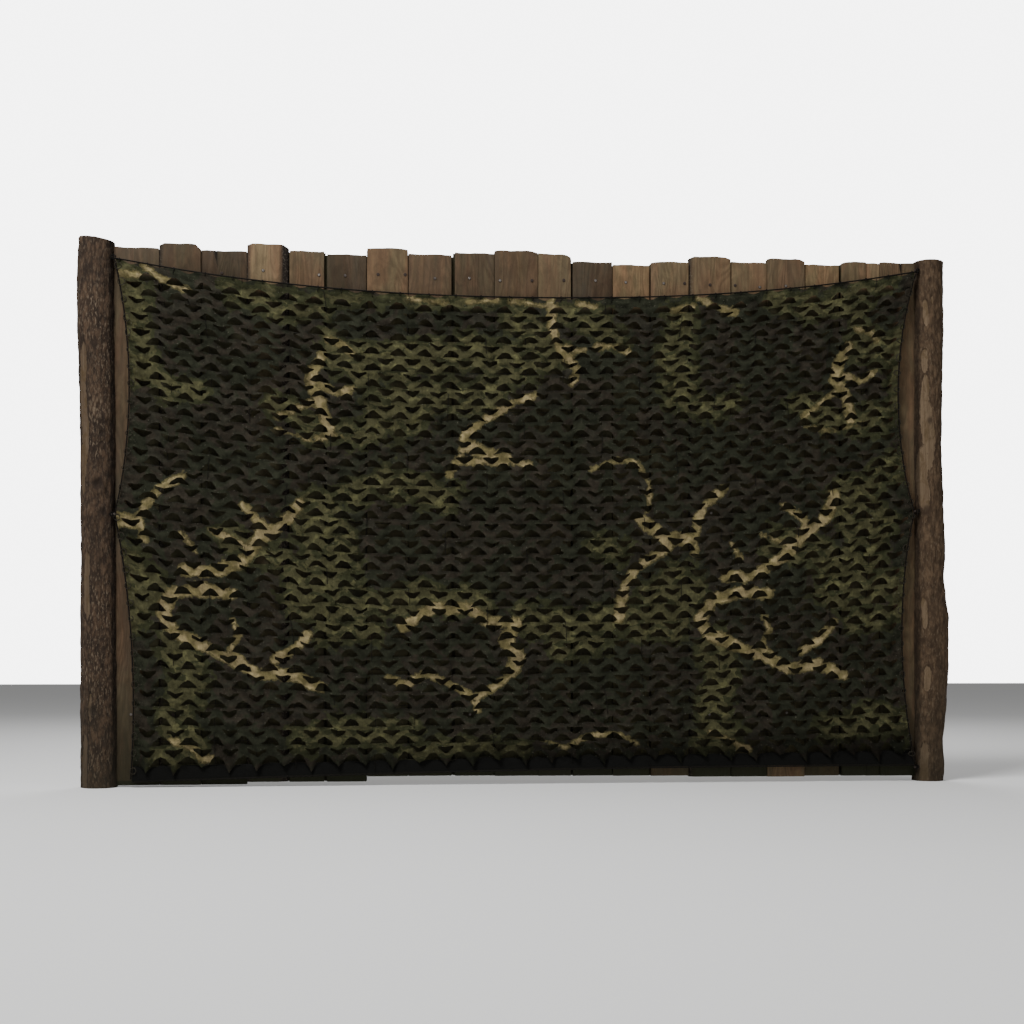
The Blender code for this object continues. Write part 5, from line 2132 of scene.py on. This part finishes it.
    def _knots(self) -> list:
        """Two turns of cord and a short tail at each nail."""
        tubes = []
        turn = np.linspace(0, math.tau * 2.2, 34)
        for name in self.nails:
            low, high = box_of(name)
            middle = (low + high) / 2
            side = -1 if name.startswith("nail_left") else 1
            path = np.column_stack((
                middle.x - side * 0.004 + self.knot_wide * np.cos(turn),
                middle.y - 0.001 + 0.0018 * np.sin(turn * 0.5) - 0.0006 * turn,
                middle.z + self.knot_tall * np.sin(turn + 0.4),
            ))
            tail = path[-1] + np.column_stack((
                -side * np.linspace(0, 0.006, 8), -0.001 * np.ones(8),
                -np.linspace(0.001, self.tail, 8),
            ))
            cord = np.concatenate((path, tail))
            tubes.append(tube(cord, self.knot_cord, 6, 0.010, 2, 0.2))
        return tubes


# ============================================================================ studio
class Lamp(NamedTuple):
    """A soft square light: where it is, what it faces, its size and its watts."""

    name: str
    place: Colour
    target: Colour
    size: float
    power: float


LAMPS = (
    Lamp("key", (-2.4, -2.9, 5.6), (0.0, 0.0, 0.8), 2.4, 430.0),
    Lamp("fill", (3.6, -4.6, 3.0), (0.2, 0.0, 0.8), 3.0, 35.0),
    Lamp("back", (0.6, 4.2, 4.2), (0.0, 0.0, 0.9), 3.0, 110.0),
)


@dataclass
class Studio:
    """Pale floor, soft lights and the camera."""

    camera_place: Colour = (-0.5529, -4.9370, 0.4066)
    camera_turn: float = -5.89  # degrees to the right of straight on
    lens: float = 50.0
    sensor: float = 36.0
    shift_up: float = 0.1514
    floor_size: float = 60.0
    floor_drop: float = 0.0005
    floor_colour: Colour = (0.86, 0.86, 0.85)
    sky_strength: float = 0.26
    seen_sky: float = 6.0  # what the camera alone sees behind the fence

    def build(self) -> None:
        """Add the floor, the lights and the camera."""
        self._camera()
        self._floor()
        for lamp in LAMPS:
            self._light(lamp)
        world = bpy.data.worlds.new("studio")
        world.use_nodes = True
        bench = Bench(world.node_tree)
        seen = bench.add("ShaderNodeLightPath").outputs["Is Camera Ray"]
        extra = bench.times(seen, self.seen_sky - self.sky_strength)
        bench.fill(world.node_tree.nodes["Background"], {
            "Color": (1.0, 1.0, 1.0, 1.0),
            "Strength": bench.plus(extra, self.sky_strength),
        })
        bpy.context.scene.world = world

    def _camera(self) -> None:
        """A level camera whose frame is shifted up."""
        lens = bpy.data.cameras.new("view")
        lens.lens, lens.sensor_width = self.lens, self.sensor
        lens.sensor_fit = "HORIZONTAL"
        lens.shift_y = self.shift_up
        camera = bpy.data.objects.new("view", lens)
        camera.location = self.camera_place
        camera.rotation_euler = (math.pi / 2, 0.0, math.radians(self.camera_turn))
        bpy.context.scene.collection.objects.link(camera)
        bpy.context.scene.camera = camera

    def _floor(self) -> None:
        """A wide pale floor."""
        Workbench.clear()
        bpy.ops.mesh.primitive_plane_add(
            size=self.floor_size, location=(0.0, 0.0, -self.floor_drop)
        )
        floor = bpy.context.object
        floor.name = "floor"
        bpy.ops.object.transform_apply(location=True)
        material, bench, shader = new_material("pale_floor")
        bench.fill(shader, {"Base Color": (*self.floor_colour, 1.0), "Roughness": 0.9})
        floor.data.materials.append(material)

    def _light(self, lamp: Lamp) -> None:
        """Put one light up."""
        light = bpy.data.lights.new(lamp.name, "AREA")
        light.shape, light.size, light.energy = "SQUARE", lamp.size, lamp.power
        obj = bpy.data.objects.new(lamp.name, light)
        obj.location = lamp.place
        way = Vector(lamp.target) - Vector(lamp.place)
        obj.rotation_euler = way.to_track_quat("-Z", "Y").to_euler()
        bpy.context.scene.collection.objects.link(obj)


# ============================================================================== main
def dress_nails(nodes: dict, effects: SharedEffects) -> None:
    """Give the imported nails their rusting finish."""
    steel = SteelFinish("cord_nail").build(effects)
    for name in Cords.nails:
        for slot in nodes[name].material_slots:
            slot.material = steel


def corners(box: Any) -> list:
    """A box as plain lists of numbers."""
    return [[float(value) for value in corner] for corner in box]


def main() -> None:
    """Load the frame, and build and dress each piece."""
    logging.basicConfig(level=logging.INFO, format="%(name)s: %(message)s")
    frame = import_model()
    Workbench.clear()
    Studio().build()
    effects = SharedEffects()
    hang = Hang()
    Fence(hang).build(effects)
    netting = Netting(hang)
    sheet = netting.build()
    finish_piece(sheet, ClothFinish().build(effects), ["netting"])
    with_sheet = Cords(hang).build(effects)
    dress_nails(frame["nodes"], effects)


if __name__ == "__main__":
    main()
